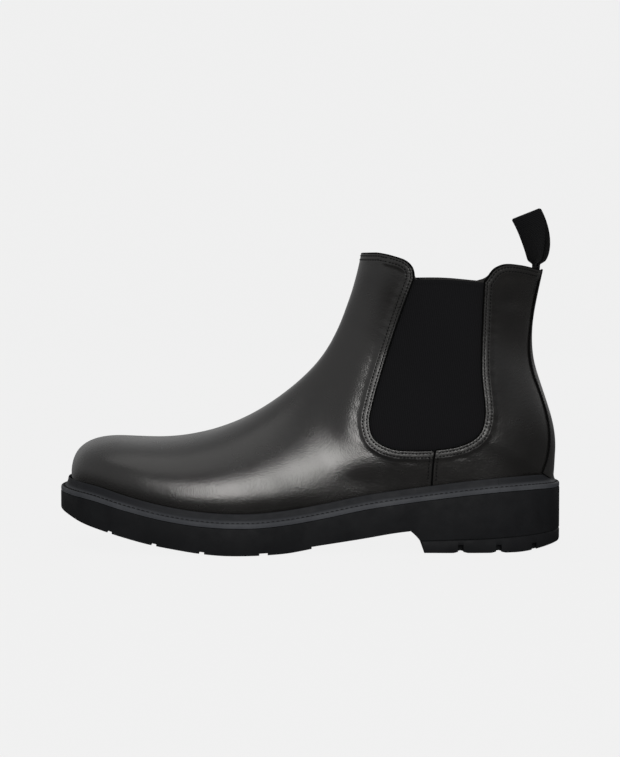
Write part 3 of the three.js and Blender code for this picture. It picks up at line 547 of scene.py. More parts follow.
def snap_to_edge(u, a, room):
    """Moves grid points that lie beside the edge (room = 0) onto it, so no face crosses it."""
    new_u, new_a, new_room = u.copy(), a.copy(), room.copy()
    cost = np.full(u.shape, 0.5)
    first = (slice(None, -1), slice(None)), (slice(None), slice(None, -1))
    second = (slice(1, None), slice(None)), (slice(None), slice(1, None))
    for low, high in zip(first, second):
        crosses = room[low] * room[high] < 0
        share = np.where(crosses, room[low] / np.where(crosses, room[low] - room[high], 1), 9)
        for near, far, t in ((low, high, share), (high, low, 1 - share)):
            better = crosses & (t <= cost[near]) & (t > -1)
            for target, source in ((new_u, u), (new_a, a)):
                view = target[near]
                view[better] = (source[near] + t * (source[far] - source[near]))[better]
            cost[near][better] = t[better]
            new_room[near][better] = 0
    return new_u, new_a, new_room


def kept_faces(room):
    """Quads inside the edge, and triangles where one corner is outside."""
    rows, columns = room.shape
    index = np.arange(rows * columns).reshape(rows, columns)
    corners = np.stack([index[:-1, :-1], index[1:, :-1], index[1:, 1:], index[:-1, 1:]], -1).reshape(-1, 4)
    value = room.ravel()[corners]
    inside = value >= 0
    useful = (value > 0).any(1)
    quads = corners[inside.all(1) & useful].tolist()
    partial = corners[(inside.sum(1) == 3) & useful]
    marks = inside[(inside.sum(1) == 3) & useful]
    return quads + [face[mark].tolist() for face, mark in zip(partial, marks)]


def edge_loops(faces):
    """The loops of edges that belong to one face only, in the faces' direction."""
    directed = {(face[k - 1], face[k]) for face in faces for k in range(len(face))}
    following = {i: j for i, j in directed if (j, i) not in directed}
    loops = []
    while following:
        start, at = next(iter(following.items()))
        loop = [start]
        del following[start]
        while at != start and at in following:
            loop.append(at)
            at = following.pop(at)
        loops.append(loop)
    return loops


def sheet_shape(u_values, a_values, outline, depth, thickness, relief, edge=0.6):
    """A sheet of the upper, cut along a side-view outline and rounded there.

    Its outer skin lies at a depth, raised by relief(points, distance to the outline).  thickness
    is a number or a function of the points."""
    u, a = np.meshgrid(u_values, a_values, indexing="ij")
    grid = surface(u, a).reshape(-1, 3)
    room = inside_outline(side_view(grid), outline).reshape(u.shape) - edge
    u, a, room = snap_to_edge(u, a, room)
    faces = kept_faces(room)
    used = np.unique(np.concatenate([np.ravel(f) for f in faces]))
    number = np.full(u.size, -1)
    number[used] = np.arange(len(used))
    faces = [[int(number[i]) for i in face] for face in faces]
    u, a = u.ravel()[used], a.ravel()[used]
    points = surface(u, a)
    normals = surface_normal(u, a)
    thick = thickness(points) if callable(thickness) else np.full(len(points), thickness)
    inner = points - normals * (depth + thick)[:, None]
    raised = relief(points, room.ravel()[used] + edge) - depth
    outer = points + normals * raised[:, None]
    i, j, k = faces[len(faces) // 2][:3]
    if np.cross(points[j] - points[i], points[k] - points[i]) @ normals[i] < 0:
        faces = [f[::-1] for f in faces]
    shape = Shape()
    shape.add(outer, faces)
    shape.add(inner, [f[::-1] for f in faces])
    deep = ((outer - inner) * normals).sum(1)
    for loop in edge_loops(faces):
        add_rim(shape, loop, outer[loop], normals[loop], deep[loop][:, None], edge)
    return shape


def add_rim(shape, loop, p, n, drop, edge):
    """Rounds a sheet's edge over and joins its outer skin to its inner one, drop below it."""
    out = unit(np.cross(np.roll(p, -1, 0) - np.roll(p, 1, 0), n))
    radius = np.minimum(edge, drop * 0.6)
    rows = [p + out * radius * math.sin(t) - n * radius * (1 - math.cos(t))
            for t in np.radians([30, 60, 90])]
    rows.append(p + out * radius - n * (drop - radius * 0.3))
    count, skin, base = len(loop), len(shape.points[0]), shape.count
    shape.add(np.vstack(rows), [])
    middle = [[base + k * count + i for i in range(count)] for k in range(len(rows))]
    lines = [loop, *middle, [skin + i for i in loop]]
    for upper, lower in zip(lines[:-1], lines[1:]):
        for i in range(count):
            j = (i + 1) % count
            shape.rims.append(len(shape.faces))
            shape.faces.append((upper[j], upper[i], lower[i], lower[j]))


def row_values(step):
    """Places along the sections that lie about a step (mm) apart on the surface."""
    u = np.linspace(0.03, LAST, 1600)
    lines = [surface(u, np.full(len(u), a)) for a in (-0.97, -0.5, 0.0, 0.5, 0.97)]
    reach = np.max([np.linalg.norm(np.diff(line, axis=0), axis=1) for line in lines], axis=0)
    run = np.concatenate([[0], np.cumsum(reach)])
    return np.interp(np.linspace(0, run[-1], int(run[-1] / step) + 1), run, u)


# ------------------------------------------------------------------ outlines of the pieces
gore_line = smooth_line(GORE_EDGE)
seam_line = smooth_line(SIDE_SEAM)
collar_front = smooth_line(COLLAR_FRONT)
collar_backs = {side: smooth_line(points) for side, points in COLLAR_BACKS.items()}
strap_line = smooth_line(STRAP_EDGE)
# The elastic's edge belongs to the vamp up to this point, where the side seam meets it.
split = int(np.argmax((gore_line[:, 0] > SIDE_SEAM[0][0]) & (gore_line[:, 1] < 70)))
vamp_outline = np.vstack([
    [(-FAR, BELOW), (-FAR, COLLAR_FRONT[0][1])], collar_front, gore_line[1:split], seam_line,
    [(SIDE_SEAM[-1][0], BELOW)]])
quarter_edges = {side: np.vstack([gore_line[split:], collar_backs[side][1:]]) for side in (-1, 1)}
quarter_outlines = {side: np.vstack([
    [(SIDE_SEAM[-1][0] + 0.1, BELOW)], seam_line[::-1] + [0.1, 0], quarter_edges[side],
    [(FAR, 165), (FAR, BELOW)]]) for side in (-1, 1)}
hidden_gore = shift_line(gore_line, -GORE_HEM)
hidden_gore = hidden_gore[hidden_gore[:, 1] < GORE_HIDDEN_TOP]
gore_top = smooth_line(GORE_TOP)
gore_corners = [[(hidden_gore[end][0] + step, z)] for end, (step, z) in zip((0, -1), GORE_CORNERS)]
gore_outline = np.vstack([gore_corners[0], hidden_gore, gore_corners[1], gore_top])
strap_outline = np.vstack([strap_line, [(FAR, 40), (FAR, 168.4)]])

# The lining ends just below the collars and the elastic's top.
top_line = np.vstack([[(-FAR, COLLAR_FRONT[0][1])], collar_front, gore_top[::-1], collar_backs[1]])
top_line -= [0, 0.5]
front_part = np.vstack([
    [(-FAR, BELOW)], top_line[top_line[:, 0] < LINING_SPLIT], [(LINING_SPLIT, BELOW)]])
back_part = np.vstack([
    [(LINING_SPLIT + 0.1, BELOW)], top_line[top_line[:, 0] > LINING_SPLIT], [(FAR, 166.5), (FAR, BELOW)]])


def side_view(points):
    return points[:, [0, 2]]


def own_side_distance(points, lines, every):
    """Distance to the line of the side that each point is on, read at every so many points."""
    outer, inner = (line_distance(side_view(points), lines[side][::every]) for side in (-1, 1))
    return np.where(points[:, 1] > 0, inner, outer)


def under_collar(points):
    """Thickness of the leather, which is folded double where it ends in a collar."""
    view = side_view(points)
    back = own_side_distance(points, collar_backs, 3)
    front = np.abs(view[:, 1] - COLLAR_FRONT[0][1]) + np.maximum(view[:, 0] - COLLAR_LEVEL, 0)
    near = np.minimum(np.minimum(line_distance(view, collar_front[::3]), back), front)
    return LEATHER + (LINING_DEPTH[0] - LEATHER) * (1 - smooth_step(*COLLAR_FOLD, near))


# ------------------------------------------------------------------ relief of the leather
def waves(points, size, seed):
    """A smooth pattern between about -1 and 1, with bumps of about a given size."""
    draw = np.random.default_rng(seed)
    total = np.zeros(len(points))
    for _ in range(7):
        direction = unit(draw.normal(size=3))
        phase = points @ direction * (2 * np.pi / size)
        total += np.sin(phase * draw.uniform(0.7, 1.3) + draw.uniform(0, 6.3))
    return total / 3.5


vamp_edge = np.vstack([collar_front, gore_line[1:split]])


def leather_relief(points, _):
    """Height of the leather's surface over the plain shape."""
    view = side_view(points)
    height = 0.05 * waves(points, 70, 3) + 0.02 * waves(points, 16, 5)
    for x, z, along, up, depth in HOLLOWS:
        height -= depth * np.exp(-((view[:, 0] - x) / along) ** 2 - ((view[:, 1] - z) / up) ** 2)
    edge = np.minimum(line_distance(view, vamp_edge[::2]), own_side_distance(points, quarter_edges, 2))
    full, none, band = SEWN_BAND
    sewn = band * (1 - smooth_step(full, none, edge))
    sewn += 0.1 * waves(points, 6.5, 9) * np.exp(-((edge - 6) / 3) ** 2)
    collar_part = (view[:, 0] <= COLLAR_PART[0]) & (view[:, 1] >= COLLAR_PART[1])
    height += np.where(collar_part, 0, sewn)
    middle, width, most = SWELL
    front = line_distance(view, gore_line[:split:2])
    swell = most * np.exp(-((front - middle) / width) ** 2) * smooth_step(*SWELL_RISE, view[:, 1])
    return height + swell * (view[:, 0] < SWELL_END)


def mark_edge(piece, line):
    """Stores each point's distance (mm) to a side-view line and its place along the line."""
    points = side_view(points_of(piece))
    nearest, run = line_distance(points, line, with_run=True)
    store(piece, "edge_distance", nearest)
    store(piece, "edge_run", run)
    store(piece, "seam_distance", line_distance(points, seam_line))


# ------------------------------------------------------------------ stitches
def capsule(length, radius):
    """A small rounded rod along x: points and faces."""
    rings = [(-0.5, 0.25), (-0.42, 0.75), (-0.2, 1), (0.2, 1), (0.42, 0.75), (0.5, 0.25)]
    angles = np.arange(6) * np.pi / 3
    grid = np.array([[(x * length, r * radius * math.cos(t), r * radius * math.sin(t)) for t in angles]
                     for x, r in rings])
    numbers = list(range(grid.size // 3))
    ends = [numbers[:len(angles)], numbers[:-len(angles) - 1:-1]]
    return grid.reshape(-1, 3), grid_faces(len(rings), len(angles), wrap_columns=True) + ends


def add_stitches(shape, path, normals, pitch, length, radius, sink, slant=0.0):
    """Stitches along a path on a surface."""
    run = run_length(path)
    places = np.arange(pitch / 2, run[-1], pitch)
    centre, normal = rows_at(places, run, path), rows_at(places, run, normals)
    along = unit(rows_at(places + 0.3, run, path) - rows_at(places - 0.3, run, path))
    across = unit(np.cross(normal, along))
    along, across = along + slant * across, across - slant * along
    normal = unit(np.cross(along, across))
    points, faces = capsule(length, radius)
    for c, x, y, z in zip(centre - normal * sink, along, across, normal):
        shape.add(c + points[:, :1] * x + points[:, 1:2] * y + points[:, 2:] * z, faces)


def surface_tree(pieces):
    """A search tree over finished meshes, in millimetres."""
    points, faces = [], []
    for piece in pieces:
        start = len(points)
        points.extend(points_of(piece).tolist())
        faces.extend([[start + i for i in p.vertices] for p in piece.data.polygons])
    return BVHTree.FromPolygons(points, faces)


def drape(line, side, tree):
    """Places a side-view line on the outer or inner side of a mesh: points and normals."""
    points, normals = [], []
    for x, z in line:
        hit, normal, _, _ = tree.ray_cast(Vector((x, side * 120, z)), Vector((0, -side, 0)))
        if hit is not None and hit.y * side > 0:
            points.append(hit)
            normals.append(normal)
    return np.array(points), np.array(normals)


def collar_row(offset, tree):
    """A line round the front of the shaft that keeps an offset below the collar."""
    a = np.linspace(-0.45, 0.45, 220)
    low, high = (np.full(len(a), row) for row in COLLAR_ROWS)
    for _ in range(24):
        middle = (low + high) / 2
        x, _, z = surface(middle, a).T
        deep = z < np.interp(x, *collar_front.T) - offset
        low, high = np.where(deep, middle, low), np.where(deep, high, middle)
    points, normals = surface(low, a), surface_normal(low, a)
    kept = points[:, 0] < COLLAR_TURN
    points, normals = points[kept], normals[kept]
    for k, (p, n) in enumerate(zip(points, normals)):
        hit, _, _, _ = tree.ray_cast(Vector(p + n * 4), Vector(-n))
        if hit is not None:
            points[k] = hit
    return points, normals


# ------------------------------------------------------------------ the sole and the welt
def stations():
    """Places along the sole: close together at its round ends, and a pair at each step."""
    ends = (np.linspace(0, 1, 22) ** 2) * ROUND_END
    low, high = SOLE_PLAN[0][0], SOLE_PLAN[-1][0]
    steps = [TREAD_END, BREAST_TOP, BREAST_FOOT, RAND_SPLICE - SPLICE_GAP / 2,
             RAND_SPLICE + SPLICE_GAP / 2]
    for x, width in TREAD_GROOVES + [(x, HEEL_GROOVE_WIDTH) for x in HEEL_GROOVES]:
        steps += [x - width / 2, x + width / 2]
    pairs = np.concatenate([np.array(steps) - STEP_LENGTH / 2, np.array(steps) + STEP_LENGTH / 2])
    breast = np.linspace(BREAST_TOP, BREAST_FOOT, 24)
    even = np.arange(low + ROUND_END, high - ROUND_END, 1.3)
    return np.unique(np.concatenate([low + ends, high - ends, even, pairs, breast]))


SOLE_X = stations()
plan_outer, plan_inner = two_sides(plan_loop)


def station_loop(x):
    """The sole's outline at some stations: outer side to the heel, then back on the inner side."""
    outer = np.stack([x, np.interp(x, *plan_outer.T)], 1)
    inner = np.stack([x, np.interp(x, *plan_inner.T)], 1)
    return np.vstack([outer, inner[-2:0:-1]])


def sole_bottom(x):
    """Underside of the sole: tread, arch, front of the heel and seat of the wear piece."""
    z = np.where(x < TREAD_END, curve_through(TREAD)(x), curve_through(WAIST)(x))
    for centre, width in TREAD_GROOVES:
        z = z + np.where(np.abs(x - centre) < width / 2, TREAD_GROOVE_DEPTH, 0)
    return np.where(x > BREAST_TOP, np.maximum(heel_front(x), lift_top(x)), z)


def heel_front(x):
    """The hollow front of the heel, from the arch to the ground."""
    t = np.clip((x - BREAST_TOP) / (BREAST_FOOT - BREAST_TOP), 0, 1)
    return BREAST_HEIGHT * np.sqrt(1 - t)


def lift_bottom(x, share=0.0):
    """Tread of the heel's wear piece: its grooves are deep at the sides and shallow between."""
    start, full, height = HEEL_RISE
    z = height * smooth_step(start, full, x)
    z = np.maximum(np.maximum(z, heel_front(x)), (x - HEEL_CORNER[0]) * HEEL_CORNER[1])
    mouth, half_width = GROOVE_MOUTH
    for centre in HEEL_GROOVES:
        away = np.abs(x - centre)
        pit = (away < HEEL_GROOVE_WIDTH / 2) & (np.minimum(share, 1 - share) < POCKET_SHARE)
        z = np.where(pit, POCKET_TOP, np.maximum(z, mouth * (1 - away / half_width)))
    return z


def lift_top(x):
    return np.interp(x, *np.array(TOP_LIFT).T)


# Shares of the width where the caps of the sole's blocks have points.
ACROSS = np.array([0, 0.02, 0.047, 0.053, *np.arange(1, 10) / 10, 0.947, 0.953, 0.98, 1])


def block(x, bottom, top, wall, pockets=False):
    """A block with the sole's outline, between two heights, with its edges rounded by insets."""
    loop = station_loop(x)
    shape = Shape()
    at = loop[:, 0]
    low, high = bottom(at), top(at)
    rings = []
    for inset, share, offset in wall:
        ring = inset_loop(inset, loop)
        most = (high - low) * 0.45
        height = low + (high - low) * share + np.clip(offset, -most, most)
        rings.append(np.column_stack([ring, height]))
    shape.add_grid(np.array(rings), wrap_columns=True)
    share = ACROSS[None, :, None]
    n = len(x)
    for ring in (rings[0], rings[-1]):
        outer = ring[:n]
        inner = np.vstack([ring[:1], ring[:n - 1:-1], ring[n - 1:n]])
        cap = outer[:, None] * (1 - share) + inner[:, None] * share
        if ring is rings[0] and pockets:
            cap[:, 1:-1, 2] = bottom(x[:, None], ACROSS[None, 1:-1])
        shape.add_grid(cap)
    return shape


def welt_line(path, share, height):
    """A line along the welt, at a share of its width and a height over the sole's top."""
    loop = station_loop(SOLE_X)
    ring = inset_loop(share * feather_inset(loop[:, 0]), loop)
    return np.column_stack([ring, sole_top(loop[:, 0]) + height])[path]


def welt_paths():
    """Point numbers round the sole for the welt (round the toe) and the rand (round the heel)."""
    n, total = len(SOLE_X), 2 * len(SOLE_X) - 2
    front = int(np.sum(SOLE_X < RAND_SPLICE))
    welt = [(total - i) % total for i in range(front - 1, -1, -1)] + list(range(1, front))
    rand = list(range(front, n)) + [total - i for i in range(n - 2, front - 1, -1)]
    return welt, rand


def strip(path):
    """A closed bar with the welt's cross section along a path."""
    rows = np.array([welt_line(path, share, height) for share, height in WELT_PROFILE])
    shape = Shape()
    shape.add_grid(rows, wrap_rows=True)
    for end in (0, -1):
        shape.add(rows[:, end], [list(range(len(rows)))])
    return shape


def mark_height(piece):
    """Stores each point's height (mm) over the sole's top."""
    x, _, z = points_of(piece).T
    store(piece, "height", z - sole_top(x))


# ------------------------------------------------------------------ materials
def new_material(name, colour, roughness, **sockets):
    """A Principled material with constant sockets; returns it with its node tree and shader."""
    material = bpy.data.materials.new(name)
    material.use_nodes = True
    tree = material.node_tree
    shader = tree.nodes["Principled BSDF"]
    shader.inputs["Base Color"].default_value = (*colour, 1)
    shader.inputs["Roughness"].default_value = roughness
    for socket, value in sockets.items():
        shader.inputs[socket.replace("_", " ")].default_value = value
    return material, tree, shader


def add_node(tree, kind, settings=(), **inputs):
    """A node with its constants and links set: an output socket as a value becomes a link."""
    node = tree.nodes.new("ShaderNode" + kind)
    for key, value in dict(settings).items():
        setattr(node, key, value)
    for key, value in inputs.items():
        name = key.replace("_", " ")
        socket = node.inputs[int(key[1:])] if key[0] == "i" and key[1:].isdigit() else node.inputs[name]
        if isinstance(value, bpy.types.NodeSocket):
            tree.links.new(value, socket)
        else:
            socket.default_value = value
    return node


def place(tree):
    """Position on the object, in metres: the pieces all lie at the origin."""
    return add_node(tree, "TexCoord").outputs["Object"]


def stretched(tree, where, scale):
    return add_node(tree, "Mapping", Vector=where, Scale=scale).outputs["Vector"]


def stored(tree, name, output="Fac"):
    """What is stored under a name with the mesh's points."""
    return add_node(tree, "Attribute", {"attribute_name": name}).outputs[output]


def noise_at(tree, where, scale, detail, roughness=0.5):
    noise = add_node(tree, "TexNoise", Vector=where, Scale=scale, Detail=detail, Roughness=roughness)
    return noise.outputs[0]


def ramp(tree, value, start, end, low, high, kind="LINEAR"):
    """Goes from low to high while a value goes from start to end."""
    node = add_node(tree, "MapRange", {"interpolation_type": kind}, Value=value, From_Min=start,
                    From_Max=end, To_Min=low, To_Max=high)
    return node.outputs[0]


def smooth_ramp(tree, value, start, end, low, high):
    return ramp(tree, value, start, end, low, high, "SMOOTHSTEP")


def math_node(tree, operation, a, b=0.0):
    return add_node(tree, "Math", {"operation": operation}, i0=a, i1=b).outputs[0]


def sine(tree, value, length):
    """A sine wave of some length along a value."""
    return math_node(tree, "SINE", math_node(tree, "MULTIPLY", value, 2 * math.pi / length))


def mix(tree, factor, first, second):
    return add_node(tree, "Mix", {"data_type": "RGBA"}, i0=factor, i6=first, i7=second).outputs[2]


def tinted(tree, value, start, end, dark, light):
    """A colour from dark to light while a value goes from start to end."""
    return mix(tree, ramp(tree, value, start, end, 0, 1), (*dark, 1), (*light, 1))


def bump(tree, height, distance, under=None):
    """Relief in metres, over another relief."""
    below = {} if under is None else {"Normal": under}
    return add_node(tree, "Bump", Height=height, Distance=distance, **below).outputs["Normal"]


def feed(tree, shader, **outputs):
    """Links outputs to the shader's sockets."""
    for socket, output in outputs.items():
        tree.links.new(output, shader.inputs[socket.replace("_", " ")])


LEATHER_DULLED = 0.14    # how much rougher the leather is along its sewn edge


def smooth_leather(name, dark, light, rough=(0.21, 0.29), rows=()):
    """Dressed calf leather: fine pores, faint creases and an uneven polish.

    Rows of stitches, at distances from the cut edge (mm), draw it in between their holes."""
    material, tree, shader = new_material(name, dark, rough[0])
    where = place(tree)
    tint = tinted(tree, noise_at(tree, where, 22, 4), 0.35, 0.7, dark, light)
    polish = ramp(tree, noise_at(tree, where, 60, 5, 0.6), 0.3, 0.7, *rough)
    pores = add_node(tree, "TexVoronoi", Vector=where, Scale=1100).outputs["Distance"]
    creases = noise_at(tree, stretched(tree, where, (0.7, 1, 1.6)), 520, 4, 0.6)
    relief = bump(tree, pores, 0.00006)
    relief = bump(tree, creases, 0.00007, relief)
    relief = bump(tree, noise_at(tree, where, 60, 2), 0.00012, relief)
    if rows:
        distance = stored(tree, "edge_distance")
        dulled = smooth_ramp(tree, distance, rows[-1], rows[-1] + 1.5, LEATHER_DULLED, 0.0)
        polish = math_node(tree, "ADD", polish, dulled)
        relief = sewn_relief(tree, distance, rows, relief)
    feed(tree, shader, Base_Color=tint, Roughness=polish, Normal=relief)
    return material


def sewn_relief(tree, distance, rows, relief):
    """Grooves along the rows of stitches, crossed by the folds that each stitch pulls."""
    grooves = math_node(tree, "MAXIMUM", sewn_grooves(tree, distance, rows),
                        sewn_grooves(tree, stored(tree, "seam_distance"), (SEAM_ROW,)))
    relief = bump(tree, math_node(tree, "MULTIPLY", grooves, -1.0), 0.00007, relief)
    folds = sine(tree, stored(tree, "edge_run"), STITCH_PITCH)
    band = math_node(tree, "MULTIPLY", smooth_ramp(tree, distance, 0.4, 1.2, 0.0, 1.0),
                     smooth_ramp(tree, distance, rows[-1], rows[-1] + 1.0, 1.0, 0.0))
    relief = bump(tree, math_node(tree, "MULTIPLY", folds, band), 0.00002, relief)
    near = smooth_ramp(tree, distance, rows[-1], 8.0, 1.0, 0.0)
    puckers = math_node(tree, "MULTIPLY", near, noise_at(tree, place(tree), 420, 2))
    return bump(tree, puckers, 0.00012, relief)


def sewn_grooves(tree, distance, rows):
    """1 in the middle of each row of stitches, 0 beside it."""
    total = None
    for row in rows:
        away = math_node(tree, "ABSOLUTE", math_node(tree, "SUBTRACT", distance, row))
        groove = smooth_ramp(tree, away, 0.1, 1.0, 1.0, 0.0)
        total = groove if total is None else math_node(tree, "MAXIMUM", total, groove)
    return total


# Darker colour of the welt's upper part above a height over the sole's top, and how far (mm) it fades in.
DARKER_TOP_COLOUR = (0.010, 0.0105, 0.012, 1)
DARKER_TOP_FADE = 2.2         # mm


def moulded_rubber(name, dark, light, roughness, streaks=0.0, darker_from=None):
    """Moulded rubber: matt, faintly pitted, with dusty patches.  Its upper part can be darker,
    from a height over the sole's top (mm)."""
    material, tree, shader = new_material(name, dark, roughness, Specular_IOR_Level=0.05)
    where = place(tree)
    tint = tinted(tree, noise_at(tree, where, 35, 6, 0.65), 0.4, 0.72, dark, light)
    if darker_from is not None:
        # The upper part is darker from a height over the sole's top upwards.
        height = stored(tree, "height")
        darker_share = smooth_ramp(tree, height, darker_from, darker_from + DARKER_TOP_FADE, 0.0, 1.0)
        tint = mix(tree, darker_share, tint, DARKER_TOP_COLOUR)
    rough = ramp(tree, noise_at(tree, where, 180, 3), 0.3, 0.7, roughness - 0.08, roughness + 0.1)
    pits = bump(tree, noise_at(tree, where, 1900, 2), 0.00006)
    lines = noise_at(tree, stretched(tree, where, (0.12, 0.12, 1)), 900, 2)
    relief = bump(tree, lines, 0.0002 * streaks + 0.00002, pits)
    feed(tree, shader, Base_Color=tint, Roughness=rough, Normal=relief)
    return material


def woven(tree, shader, pattern, reach, colours, depth, fuzz_scale, fuzz):
    """Cloth from a woven pattern between -reach and reach: its colour, its relief and its fuzz."""
    relief = bump(tree, pattern, depth)
    relief = bump(tree, noise_at(tree, place(tree), fuzz_scale, 2), fuzz, relief)
    feed(tree, shader, Base_Color=tinted(tree, pattern, -reach, reach, *colours), Normal=relief)


def ribbed_elastic(name, dark, light, pitch):
    """Woven elastic: ribs that lean a little, with small weft bumps between them."""
    material, tree, shader = new_material(name, dark, 0.9, Specular_IOR_Level=0.02,
                                          Sheen_Weight=0.01, Sheen_Roughness=0.5)
    parts = add_node(tree, "SeparateXYZ", Vector=place(tree)).outputs
    lean = math_node(tree, "MULTIPLY", parts["Z"], -0.12)
    ribs = sine(tree, math_node(tree, "ADD", parts["X"], lean), pitch)
    weft = sine(tree, parts["Z"], pitch * 0.55)
    pattern = math_node(tree, "ADD", ribs, math_node(tree, "MULTIPLY", weft, 0.35))
    woven(tree, shader, pattern, 1.3, (dark, light), 0.00008, 2600, 0.00012)
    return material


def woven_tape(name, dark, light, pitch):
    """Webbing with a diagonal weave, laid out along the tape by its "tape" attribute (m)."""
    material, tree, shader = new_material(name, dark, 0.85, Specular_IOR_Level=0.03,
                                          Sheen_Weight=0.02, Sheen_Roughness=0.45)
    parts = add_node(tree, "SeparateXYZ", Vector=stored(tree, "tape", "Vector")).outputs
    across, along = parts["X"], parts["Y"]
    first = sine(tree, math_node(tree, "ADD", across, along), pitch)
    steep = math_node(tree, "SUBTRACT", math_node(tree, "MULTIPLY", across, 2), along)
    second = math_node(tree, "MULTIPLY", sine(tree, steep, pitch), 0.6)
    pattern = math_node(tree, "ADD", first, second)
    woven(tree, shader, pattern, 1.6, (dark, light), 0.00018, 3000, 0.0001)
    return material


def spun_thread(name, dark, light):
    material, tree, shader = new_material(name, dark, 0.7, Specular_IOR_Level=0.1)
    twist = noise_at(tree, place(tree), 2500, 2)
    feed(tree, shader, Base_Color=tinted(tree, twist, 0, 1, dark, light),
         Normal=bump(tree, twist, 0.00012))
    return material


def fibrous(name, dark, light, roughness, scale, stretch=(1, 1, 1), depth=0.0003, metallic=0.0,
            specular=0.35):
    """Board, cork, brushed lining or steel: streaks or crumbs of two colours."""
    material, tree, shader = new_material(name, dark, roughness, Metallic=metallic,
                                          Specular_IOR_Level=specular)
    grain = noise_at(tree, stretched(tree, place(tree), stretch), scale, 5, 0.65)
    feed(tree, shader, Base_Color=tinted(tree, grain, 0.3, 0.7, dark, light),
         Roughness=ramp(tree, grain, 0.3, 0.7, roughness - 0.06, roughness + 0.06),
         Normal=bump(tree, grain, depth))
    return material


LEATHER_BLACK = smooth_leather("upper_leather", (0.0050, 0.0048, 0.0047), (0.0080, 0.0075, 0.0072),
                               rows=STITCH_ROWS)
STRAP_BLACK = smooth_leather("strap_leather", (0.0055, 0.0053, 0.0052), (0.009, 0.0086, 0.0083),
                             rough=(0.26, 0.36))
LINING_DARK = fibrous("lining_leather", (0.006, 0.0057, 0.0055), (0.012, 0.0112, 0.0105), 0.85, 700,
                      depth=0.0002)
FOOTBED_DARK = fibrous("footbed_leather", (0.022, 0.020, 0.018), (0.040, 0.036, 0.032), 0.7, 500)
ELASTIC_BLACK = ribbed_elastic("elastic", (0.0042, 0.0042, 0.0047), (0.0062, 0.0062, 0.0067), 0.0011)
WEBBING_BLACK = woven_tape("webbing", (0.0030, 0.0030, 0.0034), (0.0065, 0.0065, 0.007), 0.0016)
SOLE_BLACK = moulded_rubber("sole_rubber", (0.0046, 0.0048, 0.0054), (0.0072, 0.0075, 0.0082), 0.6)
# The welt and the rand are darker from 3 mm over the sole's top upwards.
WELT_BLACK = moulded_rubber("welt_rubber", (0.026, 0.0275, 0.031), (0.040, 0.042, 0.046), 0.5,
                            streaks=0.4, darker_from=3.0)
EDGE_BLACK = fibrous("leather_edge", (0.0015, 0.0015, 0.0015), (0.004, 0.004, 0.004), 1.0, 900,
                     specular=0.0)
WELT_THREAD = spun_thread("welt_thread", (0.0012, 0.0012, 0.0014), (0.004, 0.004, 0.0045))
THREAD_BLACK = spun_thread("thread", (0.0012, 0.0012, 0.0013), (0.003, 0.003, 0.0032))
BOARD_BROWN = fibrous("board", (0.27, 0.19, 0.12), (0.42, 0.32, 0.22), 0.85, 400)
CORK_BROWN = fibrous("cork", (0.16, 0.09, 0.05), (0.46, 0.30, 0.17), 0.9, 650, depth=0.0006)
STEEL_GREY = fibrous("steel", (0.42, 0.42, 0.43), (0.56, 0.56, 0.57), 0.32, 300, (0.05, 1, 1),
                     0.00004, 1.0)
PUFF_GREY = fibrous("stiffener", (0.20, 0.19, 0.17), (0.34, 0.32, 0.29), 0.8, 500)

# ------------------------------------------------------------------ pieces of the upper
UPPER_U = row_values(CELL)
UPPER_A = np.linspace(-1, 1, 221)


def build_leather(name, a_values, outline, edge_line):
    """A part of the upper's leather, with the distance from its sewn edge for the material."""
    shape = sheet_shape(UPPER_U, a_values, outline, 0, under_collar, leather_relief)
    piece = make_piece(name, shape, [LEATHER_BLACK, EDGE_BLACK], [name])
    mark_edge(piece, edge_line)
    return piece


def gore_relief(points, _):
    """The border along the top, and the slack of the elastic between its stitched edges."""
    view = side_view(points)
    start, full, most = GORE_SLACK
    slack = 0.16 * waves(points * [1.2, 1, 0.25], 11, 17)
    slack += most * smooth_step(start, full, line_distance(view, gore_line[::2]))
    width, height = GORE_BORDER
    return slack + np.where(line_distance(view, gore_top) < width, height, 0)


def build_gore(name, side):
    u = UPPER_U[(UPPER_U > GORE_ROWS[0]) & (UPPER_U < GORE_ROWS[1])]
    fine_u = np.interp(np.linspace(0, len(u) - 1, len(u) * 2), np.arange(len(u)), u)
    shape = sheet_shape(fine_u, np.linspace(0, 1, 181) * side, gore_outline, GORE_DEPTH[0],
                        GORE_DEPTH[1] - GORE_DEPTH[0], gore_relief, edge=0.35)
    piece = make_piece(name, shape, [ELASTIC_BLACK], [name])


def strap_relief(points, distance):
    width, pared = STRAP_PARED
    return 0.06 * waves(points, 18, 23) - pared * (1 - smooth_step(0, width, distance))


def build_strap():
    """The back strap crosses the back seam, so its columns run round from one side to the other."""
    half = np.linspace(0.55, 1, 50)
    a = np.concatenate([-half, half[-2::-1]])
    shape = sheet_shape(UPPER_U[UPPER_U > HEEL_ROW + 0.02], a, strap_outline, -STRAP_THICK - 0.05,
                        STRAP_THICK, strap_relief, edge=0.5)
    return make_piece("backstrap", shape, [STRAP_BLACK, EDGE_BLACK], ["backstrap"])


def lining_relief(points, _):
    return 0.08 * waves(points, 26, 31)


def build_lining(name, node, outline):
    """The lining of the foot part or of the back part; it reaches just under the collars."""
    shape = sheet_shape(UPPER_U[::2], UPPER_A[::2], outline, LINING_DEPTH[0],
                        LINING_DEPTH[1] - LINING_DEPTH[0], lining_relief, edge=0.4)
    make_piece(name, shape, [LINING_DARK], [node])


